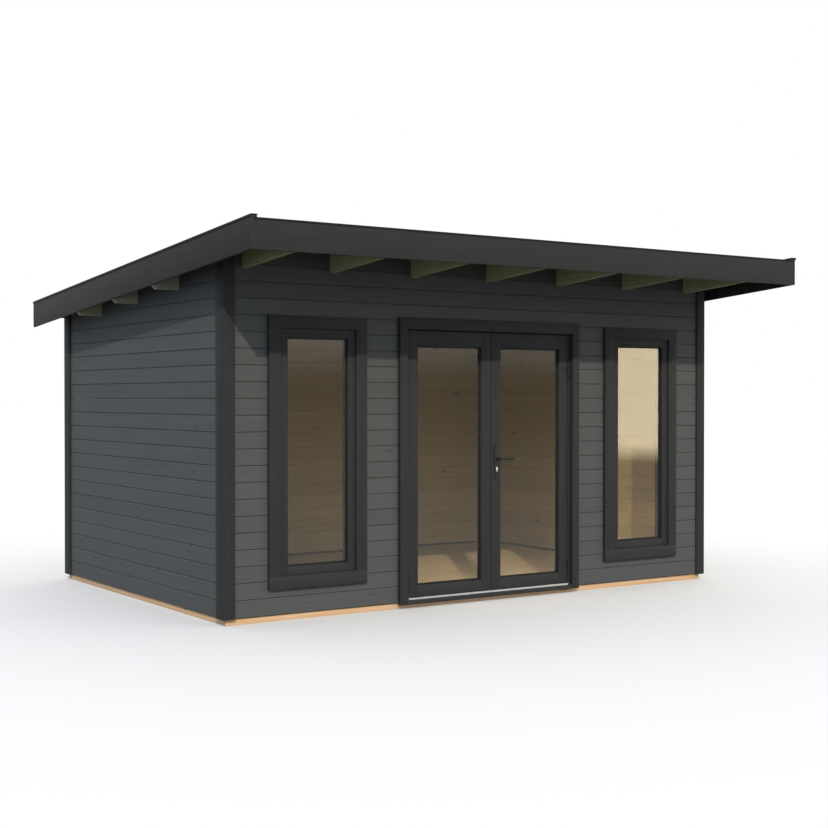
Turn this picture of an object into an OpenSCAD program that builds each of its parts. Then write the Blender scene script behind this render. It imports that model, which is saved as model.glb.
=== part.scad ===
// Timber garden cabin with a low mono-pitch roof, two tall windows and a glazed double door.
// Millimetres, +Z up, front towards -Y, origin under the middle of the whole outline.

/* [Walls] */
// Width over the outer faces of the side walls
wall_w = 4470; // [4300:10:5200]
// Depth over the outer faces of the front and back walls
wall_d = 3015; // [2700:5:3600]
// Thickness of the wall boards
wall_t = 44; // [34:1:58]
// Height of the front wall from the door head up to the rafters
header_h = 340; // [250:1:500]

/* [Base and floor] */
// Height of the base beams
base_h = 43; // [30:1:80]
// Width of a base beam
base_w = 120; // [90:1:150]
// Set-back of the base beams behind the wall face
base_inset = 15; // [4:1:30]
// Number of floor joists
joist_count = 5; // [3:1:8]
// Width of a floor joist
joist_w = 60; // [40:1:90]
// Thickness of the floor boards
floor_t = 19; // [16:1:28]
// Free gap round the edge of the floor
floor_gap = 5; // [2:1:8]

/* [Roof] */
// Fall of the roof towards the back, in degrees
roof_pitch = 4.4; // [3:0.1:5]
// Reach of the roof beyond the front wall
roof_front = 817; // [500:1:1100]
// Reach of the roof beyond each side wall
roof_side = 219; // [150:1:320]
// Reach of the roof beyond the back wall
roof_back = 201; // [120:1:320]
// Thickness of barge and fascia boards
barge_t = 20; // [16:1:30]
// Height of the barge boards
barge_h = 213; // [190:1:235]
// From the top of the roof edge to the bottom of the back fascia
back_fascia_h = 128; // [100:1:185]
// Height of the edge battens above the roofing felt
upstand_h = 19; // [10:1:30]
// Width of the edge battens
upstand_w = 24; // [18:1:40]
// Thickness of the roofing felt
felt_t = 4; // [2:0.5:6]
// Thickness of the roof boards
deck_t = 19; // [16:1:25]

/* [Rafters and purlins] */
// Number of front rafters
rafter_count = 7; // [4:1:9]
// Width of a rafter
rafter_w = 45; // [35:1:60]
// Depth of a rafter
rafter_h = 144; // [120:1:170]
// From the left wall face to the first rafter
rafter_left = 132; // [110:1:200]
// From the last rafter to the right wall face
rafter_right = 177; // [110:1:200]
// Number of purlins
purlin_count = 3; // [2:1:3]
// Width of a purlin
purlin_w = 45; // [35:1:60]
// Depth of a purlin
purlin_h = 196; // [150:1:220]
// From the front wall face to the first purlin
purlin_first = 724; // [500:1:850]
// Spacing of the purlins
purlin_step = 741; // [500:1:800]
// Chamfer under the purlin ends
purlin_cut = 30; // [10:1:60]

/* [Corner boards] */
// Thickness of the corner boards
corner_t = 16; // [12:1:22]
// Cover of the wall on the front and back
corner_front = 73; // [50:1:85]
// Cover of the wall on the sides
corner_side = 105; // [60:1:130]

/* [Door frame] */
// Width of a jamb
jamb_w = 42; // [34:1:60]
// Depth of the door frame
jamb_d = 84; // [76:1:100]
// Height of the door head
door_head_h = 39; // [30:1:60]
// Overlap of the stop behind the leaves
stop_w = 12; // [8:1:20]
// Width of the casing boards beside the door
door_casing_w = 66; // [50:1:90]
// Thickness of the casing boards round the door
door_casing_t = 36; // [30:1:45]
// Step between the leaf edge and the casing
casing_step = 23; // [20:1:30]
// Height of the casing board over the door
door_casing_h = 85; // [60:1:120]
// Strip of the door head seen under the casing
head_reveal = 4; // [2:1:10]
// Lip of the sill below the wall bottom
sill_drop = 12; // [5:1:25]
// Top of the sill, above the wall bottom
sill_top = 18; // [12:1:18]
// Height of the metal threshold strip
strip_h = 13; // [8:1:14]
// Overhang of the strip in front of the leaves
strip_nose = 12; // [5:1:25]

/* [Door leaves] */
// Width of one leaf
leaf_w = 754; // [650:1:800]
// Height of a leaf
leaf_h = 1948; // [1880:1:2100]
// Thickness of a leaf
leaf_t = 44; // [38:1:56]
// Free gap round a leaf
leaf_gap = 6; // [5:0.5:8]
// Width of the stiles
stile_w = 88; // [80:1:130]
// Height of the top rail
top_rail = 110; // [90:1:160]
// Height of the bottom rail
bottom_rail = 80; // [70:1:200]

/* [Windows] */
// From halfway between door casing and corner to the middle of a window, towards the door
win_offset = 22.5; // [-40:0.5:60]
// Width over the casing
win_w = 785; // [650:1:820]
// Bottom of the casing, above the wall bottom
win_z = 180; // [120:1:500]
// Cover of the casing over the wall above the window
win_head_cover = 32; // [25:1:60]
// Width of the casing boards
win_casing_w = 88; // [70:1:100]
// Thickness of the casing boards
win_casing_t = 30; // [18:1:40]
// Cover of the casing over the wall beside and below the window
win_cover = 43; // [30:1:60]
// Width of the window frame seen inside the casing
win_frame_w = 62; // [50:1:90]
// Depth of the window frame
win_frame_d = 62; // [50:1:80]
// Set-back of the window frame behind the wall face, under the casing
win_recess = 8; // [2:1:20]
// How far the window frame stands before the wall face, inside the casing
win_proud = 14; // [0:1:16]
// Free gap between the window frame and the inner edge of the casing
win_ease = 1; // [0.5:0.5:3]

/* [Glass] */
// Thickness of the panes
glass_t = 6; // [4:1:10]
// Set-back of the panes behind the frame that holds them
glass_recess = 22; // [10:1:26]

/* [Hinges] */
// Radius of a hinge barrel
barrel_r = 8; // [7:0.5:8]
// Height of a hinge barrel
barrel_h = 45; // [30:1:60]
// Radius of the hinge pin
pin_r = 4.5; // [3:0.25:5]
// Running clearance round the pin and between the barrels
pin_play = 0.1; // [0.05:0.05:0.1]
// Thickness of the hinge flaps
flap_t = 4; // [3:0.5:4]
// Clearance between a barrel and the face of the leaf
barrel_gap = 1; // [0.5:0.5:2]
// Width of the flap on the leaf
flap_w = 32; // [20:1:60]
// Height of the lower hinge above the foot of the leaf
hinge_low = 133; // [80:1:300]
// Depth of the upper hinge below the top of the leaf
hinge_high = 288; // [120:1:400]

/* [Handle] */
// From the meeting edge of the leaf to the handle
backset = 45; // [35:1:55]
// Height of the lever above the foot of the leaf
lever_z = 992; // [900:1:1080]
// Length of the lever
lever_l = 128; // [100:1:150]
// Radius of the lever
lever_r = 8; // [6:0.5:8]
// Radius of the neck of the lever
neck_r = 9; // [9:0.5:11]
// Reach of the lever in front of the leaf
lever_out = 52; // [40:1:65]
// Width of the handle plate
plate_w = 44; // [34:1:50]
// Height of the handle plate
plate_h = 272; // [200:1:300]
// Thickness of the handle plate
plate_t = 8; // [5:1:10]
// Drop from the lever to the middle of the plate
plate_drop = 15; // [0:1:35]
// Drop from the lever to the lock cylinder
cylinder_drop = 70; // [60:1:92]
// Radius of the lock cylinder
cylinder_r = 8.5; // [8:0.5:9]
// Width of the stem of the lock cylinder
stem_w = 10; // [8:0.5:12]
// Length of the stem, down from the middle of the cylinder
stem_l = 25; // [20:1:28]
// Length of the lock cylinder in front of the plate
cylinder_out = 4; // [2:0.5:8]

/* [Hidden] */
$fn = 48;

// Plan of the building
x_wall = wall_w / 2;
x_roof = x_wall + roof_side;
x_deck = x_roof - barge_t;
total_d = roof_front + wall_d + roof_back;
y_tip = -total_d / 2;
y_tail = total_d / 2;
y_front = y_tip + roof_front;
y_back = y_front + wall_d;
z_wall = base_h;
x_base = x_wall - base_inset;
y_joist = [y_front + base_inset + base_w, y_back - base_inset - base_w];
cut_over = 1;

// Rafters and purlins
rafter_step = (wall_w - rafter_left - rafter_right - rafter_w) / (rafter_count - 1);
rafter_x = [for (i = [0 : rafter_count - 1]) -x_wall + rafter_left + i * rafter_step];
purlin_y = [for (i = [0 : purlin_count - 1]) y_front + purlin_first + i * purlin_step];
infill_from = concat([-x_wall], [for (x = rafter_x) x + rafter_w]);
infill_to = concat(rafter_x, [x_wall]);

// Door, measured out from its middle
x_leaf = leaf_w + leaf_gap / 2;
x_jamb = x_leaf + leaf_gap;
x_door = x_jamb + jamb_w;
x_stop = x_leaf - stop_w;
x_casing = x_leaf + casing_step;
z_sill = z_wall + sill_top;
z_strip = z_sill + strip_h;
z_leaf = z_strip + leaf_gap;
z_leaf_top = z_leaf + leaf_h;
z_door = z_leaf_top + leaf_gap;
z_header = z_door + door_head_h;
z_door_casing = z_door + head_reveal;
y_stop = y_front + leaf_t + leaf_gap;
y_jamb = y_front + jamb_d;

// Depths below the sloping top line of the barge boards
slope = tan(roof_pitch);
felt_drop = upstand_h;
deck_drop = felt_drop + felt_t;
frame_drop = deck_drop + deck_t;
// Free fit of the sloping faces on each other
seat = 0.1;
under_deck = frame_drop + seat;
rafter_drop = under_deck + rafter_h;
total_h = z_header + header_h + rafter_drop + slope * roof_front;
function roof_z(y, drop = 0) = total_h - slope * (y - y_tip) - drop;
function purlin_foot(y) = roof_z(y, under_deck) - purlin_h;

// Windows, the left one; the right one is its mirror image
win_mid = (x_casing + door_casing_w + x_wall) / 2 - win_offset;
win_x = [-win_mid - win_w / 2, -win_mid + win_w / 2];
win_hole_x = [win_x[0] + win_cover, win_x[1] - win_cover];
win_sill_z = z_wall + win_z + win_cover;
win_border = win_casing_w - win_cover + win_frame_w;
win_casing_z = [z_wall + win_z, z_header + win_head_cover];
win_head = win_casing_w - win_head_cover + win_frame_w;
win_inset = win_casing_w + win_ease;
y_win = y_front + win_recess;
y_sash = y_front - win_proud;

// Hinge pins stand in front of the gap beside each leaf
pin_x = x_leaf + leaf_gap / 2;
pin_y = y_front - barrel_r - barrel_gap;
hinge_z = [z_leaf + hinge_low, z_leaf_top - hinge_high];

// Handle on the meeting stile of the right leaf
handle_x = leaf_gap / 2 + backset;
lever_h = z_leaf + lever_z;
plate_z = lever_h - plate_drop;
cylinder_z = lever_h - cylinder_drop;
y_leaf_back = y_front + leaf_t;

paint = "#56585a";
trim = "#3c3d3e";
bare_wood = "#c9a06a";
treated_wood = "#6b7256";
base_wood = "#d39a62";
dark_metal = "#3a3a3c";

// Box between two corners
module box(low, high) {
    translate(low) cube(high - low);
}

// Prism along X over an outline drawn in Y and Z
module along_x(x0, x1, outline) {
    translate([x0, 0, 0]) rotate([90, 0, 90]) linear_extrude(x1 - x0) polygon(outline);
}

// Board that lies parallel to the roof between two depths
module roof_layer(x0, x1, y0, y1, upper, lower) {
    along_x(x0, x1, [[y0, roof_z(y0, lower)], [y1, roof_z(y1, lower)],
        [y1, roof_z(y1, upper)], [y0, roof_z(y0, upper)]]);
}

// Upright piece with a level foot and a top cut to the roof
module under_roof(x0, x1, y0, y1, z0, drop) {
    along_x(x0, x1, [[y0, z0], [y1, z0], [y1, roof_z(y1, drop)], [y0, roof_z(y0, drop)]]);
}

// Upright rectangular frame with a border at left and right, below and above
module ring(low, high, sides, below, above) {
    difference() {
        box(low, high);
        box([low[0] + sides, low[1] - cut_over, low[2] + below],
            [high[0] - sides, high[1] + cut_over, high[2] - above]);
    }
}

// The same piece on the other side of the building
module other_side() {
    mirror([1, 0, 0]) children();
}

module base_beams_long() {
    color(base_wood) for (y = [y_front + base_inset, y_back - base_inset - base_w])
        box([-x_base, y, 0], [x_base, y + base_w, base_h]);
}

module base_beams_short() {
    color(base_wood) for (x = [-x_base, x_base - base_w])
        box([x, y_joist[0], 0], [x + base_w, y_joist[1], base_h]);
}

module floor_joists() {
    bay = 2 * (x_base - base_w) / (joist_count + 1);
    color(base_wood) for (i = [1 : joist_count]) {
        x = base_w - x_base + i * bay;
        box([x - joist_w / 2, y_joist[0], 0], [x + joist_w / 2, y_joist[1], base_h]);
    }
}

module floor() {
    x_edge = x_wall - wall_t - floor_gap;
    color(bare_wood) difference() {
        box([-x_edge, y_front + wall_t + floor_gap, base_h],
            [x_edge, y_back - wall_t - floor_gap, base_h + floor_t]);
        box([-x_door - floor_gap, y_front, base_h - cut_over],
            [x_door + floor_gap, y_jamb + floor_gap, base_h + floor_t + cut_over]);
    }
}

module front_wall_piers() {
    piers = [[-x_wall, win_hole_x[0]], [win_hole_x[1], -x_door],
        [x_door, -win_hole_x[1]], [-win_hole_x[0], x_wall]];
    color(paint) for (p = piers)
        box([p[0], y_front, z_wall], [p[1], y_front + wall_t, z_header]);
}

module window_sill_panel() {
    box([win_hole_x[0], y_front, z_wall], [win_hole_x[1], y_front + wall_t, win_sill_z]);
}

module front_wall_sills() {
    color(paint) {
        window_sill_panel();
        other_side() window_sill_panel();
    }
}

module front_wall_header() {
    color(paint) under_roof(-x_wall, x_wall, y_front, y_front + wall_t, z_header, rafter_drop + seat);
}

module front_wall_infill() {
    color(paint) for (i = [0 : rafter_count])
        roof_layer(infill_from[i], infill_to[i], y_front, y_front + wall_t, under_deck, rafter_drop);
}

// Beam across the building with its lower end corners cut off at 45 degrees
module purlin(y) {
    z0 = purlin_foot(y);
    intersection() {
        under_roof(-x_deck, x_deck, y, y + purlin_w, z0, under_deck);
        translate([0, y + purlin_w, z0]) rotate([90, 0, 0]) linear_extrude(purlin_w) polygon([
            [purlin_cut - x_deck, 0], [x_deck - purlin_cut, 0], [x_deck, purlin_cut],
            [x_deck, total_h], [-x_deck, total_h], [-x_deck, purlin_cut]]);
    }
}

module purlins() {
    color(treated_wood) for (y = purlin_y) purlin(y);
}

module left_wall() {
    color(paint) difference() {
        under_roof(-x_wall, -x_wall + wall_t, y_front + wall_t, y_back - wall_t, z_wall, under_deck);
        for (y = purlin_y) box([-x_wall - cut_over, y, purlin_foot(y)],
            [-x_wall + wall_t + cut_over, y + purlin_w, total_h]);
    }
}

module right_wall() {
    other_side() left_wall();
}

module back_wall() {
    color(paint) under_roof(-x_wall, x_wall, y_back - wall_t, y_back, z_wall, under_deck);
}

// Corner cover of two boards in an L, seen from above at a front left corner
module corner_cover(y_face, y_in) {
    intersection() {
        translate([0, 0, z_wall]) linear_extrude(total_h) polygon([
            [-x_wall - corner_t, y_face - y_in * corner_t], [-x_wall + corner_front, y_face - y_in * corner_t],
            [-x_wall + corner_front, y_face], [-x_wall, y_face],
            [-x_wall, y_face + y_in * corner_side], [-x_wall - corner_t, y_face + y_in * corner_side]]);
        under_roof(-x_roof, x_roof, y_tip, y_tail, z_wall, under_deck);
    }
}

module corner_board_front_left() {
    color(trim) corner_cover(y_front, 1);
}

module corner_board_front_right() {
    other_side() corner_board_front_left();
}

module corner_board_back_left() {
    color(trim) corner_cover(y_back, -1);
}

module corner_board_back_right() {
    other_side() corner_board_back_left();
}

module front_rafters() {
    color(treated_wood) for (x = rafter_x)
        roof_layer(x, x + rafter_w, y_tip + barge_t, purlin_y[0], under_deck, rafter_drop);
}

module roof_deck() {
    color(bare_wood) roof_layer(-x_deck, x_deck, y_tip + barge_t, y_tail - barge_t, deck_drop, frame_drop);
}

module roof_felt() {
    color("#2b2c2e") roof_layer(-x_deck, x_deck, y_tip + barge_t, y_tail - barge_t, felt_drop, deck_drop);
}

module barge_boards() {
    color(trim) for (x = [-x_roof, x_deck])
        roof_layer(x, x + barge_t, y_tip, y_tail, 0, barge_h);
}

module edge_battens() {
    color(trim) for (x = [-x_deck, x_deck - upstand_w])
        roof_layer(x, x + upstand_w, y_tip, y_tail, 0, felt_drop - seat);
}

module front_fascia() {
    color(trim) under_roof(-x_deck, x_deck, y_tip, y_tip + barge_t, total_h - barge_h, felt_drop);
}

module back_fascia() {
    color(trim) under_roof(-x_deck, x_deck, y_tail - barge_t, y_tail, roof_z(y_tail, back_fascia_h), felt_drop);
}

module left_window_casing() {
    color(trim) ring([win_x[0], y_front - win_casing_t, win_casing_z[0]], [win_x[1], y_front, win_casing_z[1]],
        win_casing_w, win_casing_w, win_casing_w);
}

module right_window_casing() {
    other_side() left_window_casing();
}

module left_window_frame() {
    sash_w = win_frame_w - win_ease;
    color(trim) {
        ring([win_hole_x[0], y_win, win_sill_z], [win_hole_x[1], y_win + win_frame_d, z_header],
            win_border, win_border, win_head);
        ring([win_x[0] + win_inset, y_sash, win_casing_z[0] + win_inset],
            [win_x[1] - win_inset, y_win - seat, win_casing_z[1] - win_inset], sash_w, sash_w, sash_w);
    }
}

module right_window_frame() {
    other_side() left_window_frame();
}

module left_window_glass() {
    y_pane = y_sash + glass_recess;
    color("#b9a98a") box([win_hole_x[0] + win_border, y_pane, win_sill_z + win_border],
        [win_hole_x[1] - win_border, y_pane + glass_t, z_header - win_head]);
}

module right_window_glass() {
    other_side() left_window_glass();
}

module casing_side() {
    box([-x_casing - door_casing_w, y_front - door_casing_t, z_wall - sill_drop],
        [-x_casing, y_front, z_door_casing]);
}

module door_casing_sides() {
    color(trim) {
        casing_side();
        other_side() casing_side();
    }
}

module door_casing_head() {
    color(trim) box([-x_casing - door_casing_w, y_front - door_casing_t, z_door_casing],
        [x_casing + door_casing_w, y_front, z_door_casing + door_casing_h]);
}

module jamb() {
    translate([0, 0, z_sill]) linear_extrude(z_door - z_sill) polygon([
        [-x_door, y_front], [-x_jamb, y_front], [-x_jamb, y_stop], [-x_stop, y_stop],
        [-x_stop, y_jamb], [-x_door, y_jamb]]);
}

module door_jambs() {
    color(trim) {
        jamb();
        other_side() jamb();
    }
}

module door_head() {
    color(trim) {
        box([-x_door, y_front, z_door], [x_door, y_jamb, z_header]);
        box([-x_stop, y_stop, z_leaf_top - stop_w], [x_stop, y_jamb, z_door]);
    }
}

module door_sill() {
    color(trim) {
        box([-x_casing, y_front - door_casing_t, z_wall - sill_drop], [x_casing, y_front, z_sill]);
        box([-x_door, y_front, z_wall], [x_door, y_jamb, z_sill]);
    }
}

module threshold_strip() {
    color("silver") box([-x_leaf, y_front - strip_nose, z_sill], [x_leaf, y_front + leaf_t, z_strip]);
}

// Lower half of a hinge: barrel with the pin standing on it, and its flap on the jamb
module frame_hinge(z) {
    translate([-pin_x, pin_y, z - barrel_h]) cylinder(h = barrel_h, r = barrel_r);
    translate([-pin_x, pin_y, z - barrel_h]) cylinder(h = 2 * barrel_h - flap_t, r = pin_r);
    box([-x_casing, y_front - flap_t, z - barrel_h], [-pin_x - leaf_gap / 2, y_front, z]);
}

// Upper half of a hinge: barrel that drops over the pin, and its flap on the leaf
module leaf_hinge(z) {
    difference() {
        union() {
            translate([-pin_x, pin_y, z + pin_play]) cylinder(h = barrel_h, r = barrel_r);
            box([-pin_x + leaf_gap / 2, y_front - flap_t, z + pin_play],
                [-pin_x + leaf_gap / 2 + flap_w, y_front, z + pin_play + barrel_h]);
        }
        translate([-pin_x, pin_y, z]) cylinder(h = barrel_h - flap_t / 2, r = pin_r + pin_play);
    }
}

module frame_hinges() {
    color(dark_metal) for (z = hinge_z) {
        frame_hinge(z);
        other_side() frame_hinge(z);
    }
}

module left_leaf() {
    color(trim) ring([-x_leaf, y_front, z_leaf], [-leaf_gap / 2, y_leaf_back, z_leaf_top],
        stile_w, bottom_rail, top_rail);
}

module left_leaf_glass() {
    y_pane = y_front + glass_recess;
    color("#b9a98a") box([-x_leaf + stile_w, y_pane, z_leaf + bottom_rail],
        [-leaf_gap / 2 - stile_w, y_pane + glass_t, z_leaf_top - top_rail]);
}

module left_leaf_hinges() {
    color(dark_metal) for (z = hinge_z) leaf_hinge(z);
}

module right_leaf() {
    other_side() left_leaf();
}

module right_leaf_glass() {
    other_side() left_leaf_glass();
}

module right_leaf_hinges() {
    other_side() left_leaf_hinges();
}

// Both faces of the right leaf: drawn for the outside, mirrored for the inside
module both_faces() {
    translate([handle_x, y_front, 0]) children();
    translate([handle_x, y_leaf_back, 0]) mirror([0, 1, 0]) children();
}

// Long plate with round ends and a bore for the neck of the lever
module handle_plate() {
    round_z = plate_h / 2 - plate_w / 2;
    rotate([90, 0, 0]) linear_extrude(plate_t) difference() {
        union() {
            translate([-plate_w / 2, plate_z - round_z]) square([plate_w, 2 * round_z]);
            translate([0, plate_z - round_z]) circle(d = plate_w);
            translate([0, plate_z + round_z]) circle(d = plate_w);
        }
        translate([0, lever_h]) circle(r = neck_r + pin_play);
    }
}

module handle_plates() {
    color(dark_metal) both_faces() handle_plate();
}

// Keyhole-shaped cylinder face in front of the plate
module lock_cylinder() {
    translate([0, -plate_t, 0]) rotate([90, 0, 0]) linear_extrude(cylinder_out) {
        translate([0, cylinder_z]) circle(r = cylinder_r);
        translate([-stem_w / 2, cylinder_z - stem_l]) square([stem_w, stem_l]);
    }
}

module lock_cylinders() {
    color("silver") both_faces() lock_cylinder();
}

// Round neck that turns in the plate, with the grip lying towards the hinges
module lever() {
    translate([0, -pin_play, lever_h]) rotate([90, 0, 0]) cylinder(h = lever_out + lever_r, r = neck_r);
    translate([0, -lever_out, lever_h]) rotate([0, 90, 0]) cylinder(h = lever_l, r = lever_r);
}

module door_lever() {
    color(dark_metal) both_faces() lever();
}

base_beams_long();
base_beams_short();
floor_joists();
floor();
front_wall_piers();
front_wall_sills();
front_wall_header();
front_wall_infill();
left_wall();
right_wall();
back_wall();
corner_board_front_left();
corner_board_front_right();
corner_board_back_left();
corner_board_back_right();
purlins();
front_rafters();
roof_deck();
roof_felt();
barge_boards();
edge_battens();
front_fascia();
back_fascia();
left_window_casing();
left_window_frame();
left_window_glass();
right_window_casing();
right_window_frame();
right_window_glass();
door_casing_sides();
door_casing_head();
door_jambs();
door_head();
door_sill();
threshold_strip();
frame_hinges();
left_leaf();
left_leaf_glass();
left_leaf_hinges();
right_leaf();
right_leaf_glass();
right_leaf_hinges();
handle_plates();
lock_cylinders();
door_lever();
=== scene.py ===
"""Looks of a timber garden cabin with a low single-pitch roof, two tall windows and a glazed double door.

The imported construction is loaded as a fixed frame. Every board, beam, bead and fitting that shows is
modelled over it and rides on the body that carries it. Lengths are in millimetres until they reach a mesh.
"""
import logging
import math
from collections.abc import Callable, Iterator, Sequence
from contextlib import contextmanager
from dataclasses import dataclass, field
from enum import Enum

import bmesh
import bpy
from mathutils import Matrix, Vector


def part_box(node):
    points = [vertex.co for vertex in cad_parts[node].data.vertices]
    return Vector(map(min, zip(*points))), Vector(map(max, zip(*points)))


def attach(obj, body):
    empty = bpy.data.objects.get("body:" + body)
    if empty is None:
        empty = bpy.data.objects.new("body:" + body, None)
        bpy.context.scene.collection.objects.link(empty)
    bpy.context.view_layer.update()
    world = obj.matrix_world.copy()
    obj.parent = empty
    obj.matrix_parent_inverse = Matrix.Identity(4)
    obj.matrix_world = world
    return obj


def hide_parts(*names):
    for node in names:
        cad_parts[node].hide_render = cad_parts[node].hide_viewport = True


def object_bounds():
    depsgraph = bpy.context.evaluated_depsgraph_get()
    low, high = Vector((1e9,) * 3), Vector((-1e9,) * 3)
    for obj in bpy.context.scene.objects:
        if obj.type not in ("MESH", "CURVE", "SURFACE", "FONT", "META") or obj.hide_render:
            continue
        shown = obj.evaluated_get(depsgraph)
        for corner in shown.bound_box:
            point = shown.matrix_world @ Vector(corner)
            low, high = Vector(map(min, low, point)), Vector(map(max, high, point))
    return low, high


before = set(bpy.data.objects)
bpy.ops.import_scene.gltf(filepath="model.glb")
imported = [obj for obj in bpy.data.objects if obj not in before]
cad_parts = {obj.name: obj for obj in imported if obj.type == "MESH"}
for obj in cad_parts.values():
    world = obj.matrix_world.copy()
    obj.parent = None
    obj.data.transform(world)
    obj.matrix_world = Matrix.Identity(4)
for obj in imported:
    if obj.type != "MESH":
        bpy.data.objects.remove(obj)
CAD_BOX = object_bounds()

MM = 0.001
LOG = logging.getLogger("cabin")
# Numbers of the colour inputs A and B of a Mix node, whose names it also gives to inputs of other types.
A, B = 6, 7
# Sides of a round part, corners that only its flat end exceeds, and a length in metres that counts as none.
ROUND = 40
CORNERS = 8
TINY = 1e-6
# Least part of a way that counts as along an axis for an edge, and as facing it for a face.
ALONG = 0.9
FACING = 0.99

Shape = bpy.types.Object
Tree = bpy.types.NodeTree
Node = bpy.types.Node
Socket = bpy.types.NodeSocket
Links = dict[str | int, Socket | Node]
Triple = Sequence[float]


class Run(Enum):
    """Way that the grain of a board runs, as 1 along it and 0 across it."""

    X = (1, 0, 0)
    Y = (0, 1, 0)
    Z = (0, 0, 1)
    LEVEL = (1, 1, 0)


class Place(Enum):
    """Place on the building whose word stands in the names of nodes and pieces."""

    @property
    def word(self) -> str:
        """The place in small letters."""
        return self.name.lower()


class Side(Place):
    """Side of the building, as the sign of X."""

    LEFT = -1
    RIGHT = 1


class End(Place):
    """End of the building, as the sign of Y."""

    FRONT = -1
    BACK = 1


def linear(code: str) -> tuple[float, float, float, float]:
    """Turn an sRGB hex value into a linear colour.

    Args:
        code: Colour as #rrggbb.

    Returns:
        Linear red, green, blue and full alpha.
    """
    parts = [int(code[i:i + 2], 16) / 255 for i in (1, 3, 5)]
    red, green, blue = (c / 12.92 if c <= 0.04045 else ((c + 0.055) / 1.055) ** 2.4 for c in parts)
    return red, green, blue, 1.0


def add_node(tree: Tree, kind: str, settings: dict | None = None, links: Links | None = None) -> Node:
    """Add a shader node with its settings and its incoming links.

    Args:
        tree: Node tree that takes the node.
        kind: Node type without its ShaderNode prefix.
        settings: Properties by name, and unlinked inputs by name or number.
        links: What feeds the inputs, by the input's name or number: a socket, or a node for its result.

    Returns:
        The new node.
    """
    node = tree.nodes.new("ShaderNode" + kind)
    for key, value in (settings or {}).items():
        if isinstance(key, str) and hasattr(node, key):
            setattr(node, key, value)
        else:
            node.inputs[key].default_value = value
    for key, source in (links or {}).items():
        if isinstance(source, Node):
            source = next(socket for socket in source.outputs if socket.enabled)
        tree.links.new(source, node.inputs[key])
    return node


@dataclass(frozen=True)
class Finish:
    """A surface as it was made, with one material for all pieces that have it."""

    name: str

    def material(self) -> bpy.types.Material:
        """Make the material of this finish on its first use.

        Returns:
            The material.
        """
        found = bpy.data.materials.get(self.name)
        if found is None:
            found = bpy.data.materials.new(self.name)
            found.use_nodes = True
            tree = found.node_tree
            tree.nodes.clear()
            add_node(tree, "OutputMaterial", links={"Surface": self.shader(tree)})
        return found

    def shader(self, tree: Tree) -> Node:
        """Add the nodes of the finish to its empty tree and return the last one."""
        raise NotImplementedError


@dataclass(frozen=True)
class BoardPitch:
    """Spacing of boards that share a finish: axis number, start of the first one and cover."""

    axis: int
    start: float
    cover: float


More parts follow.
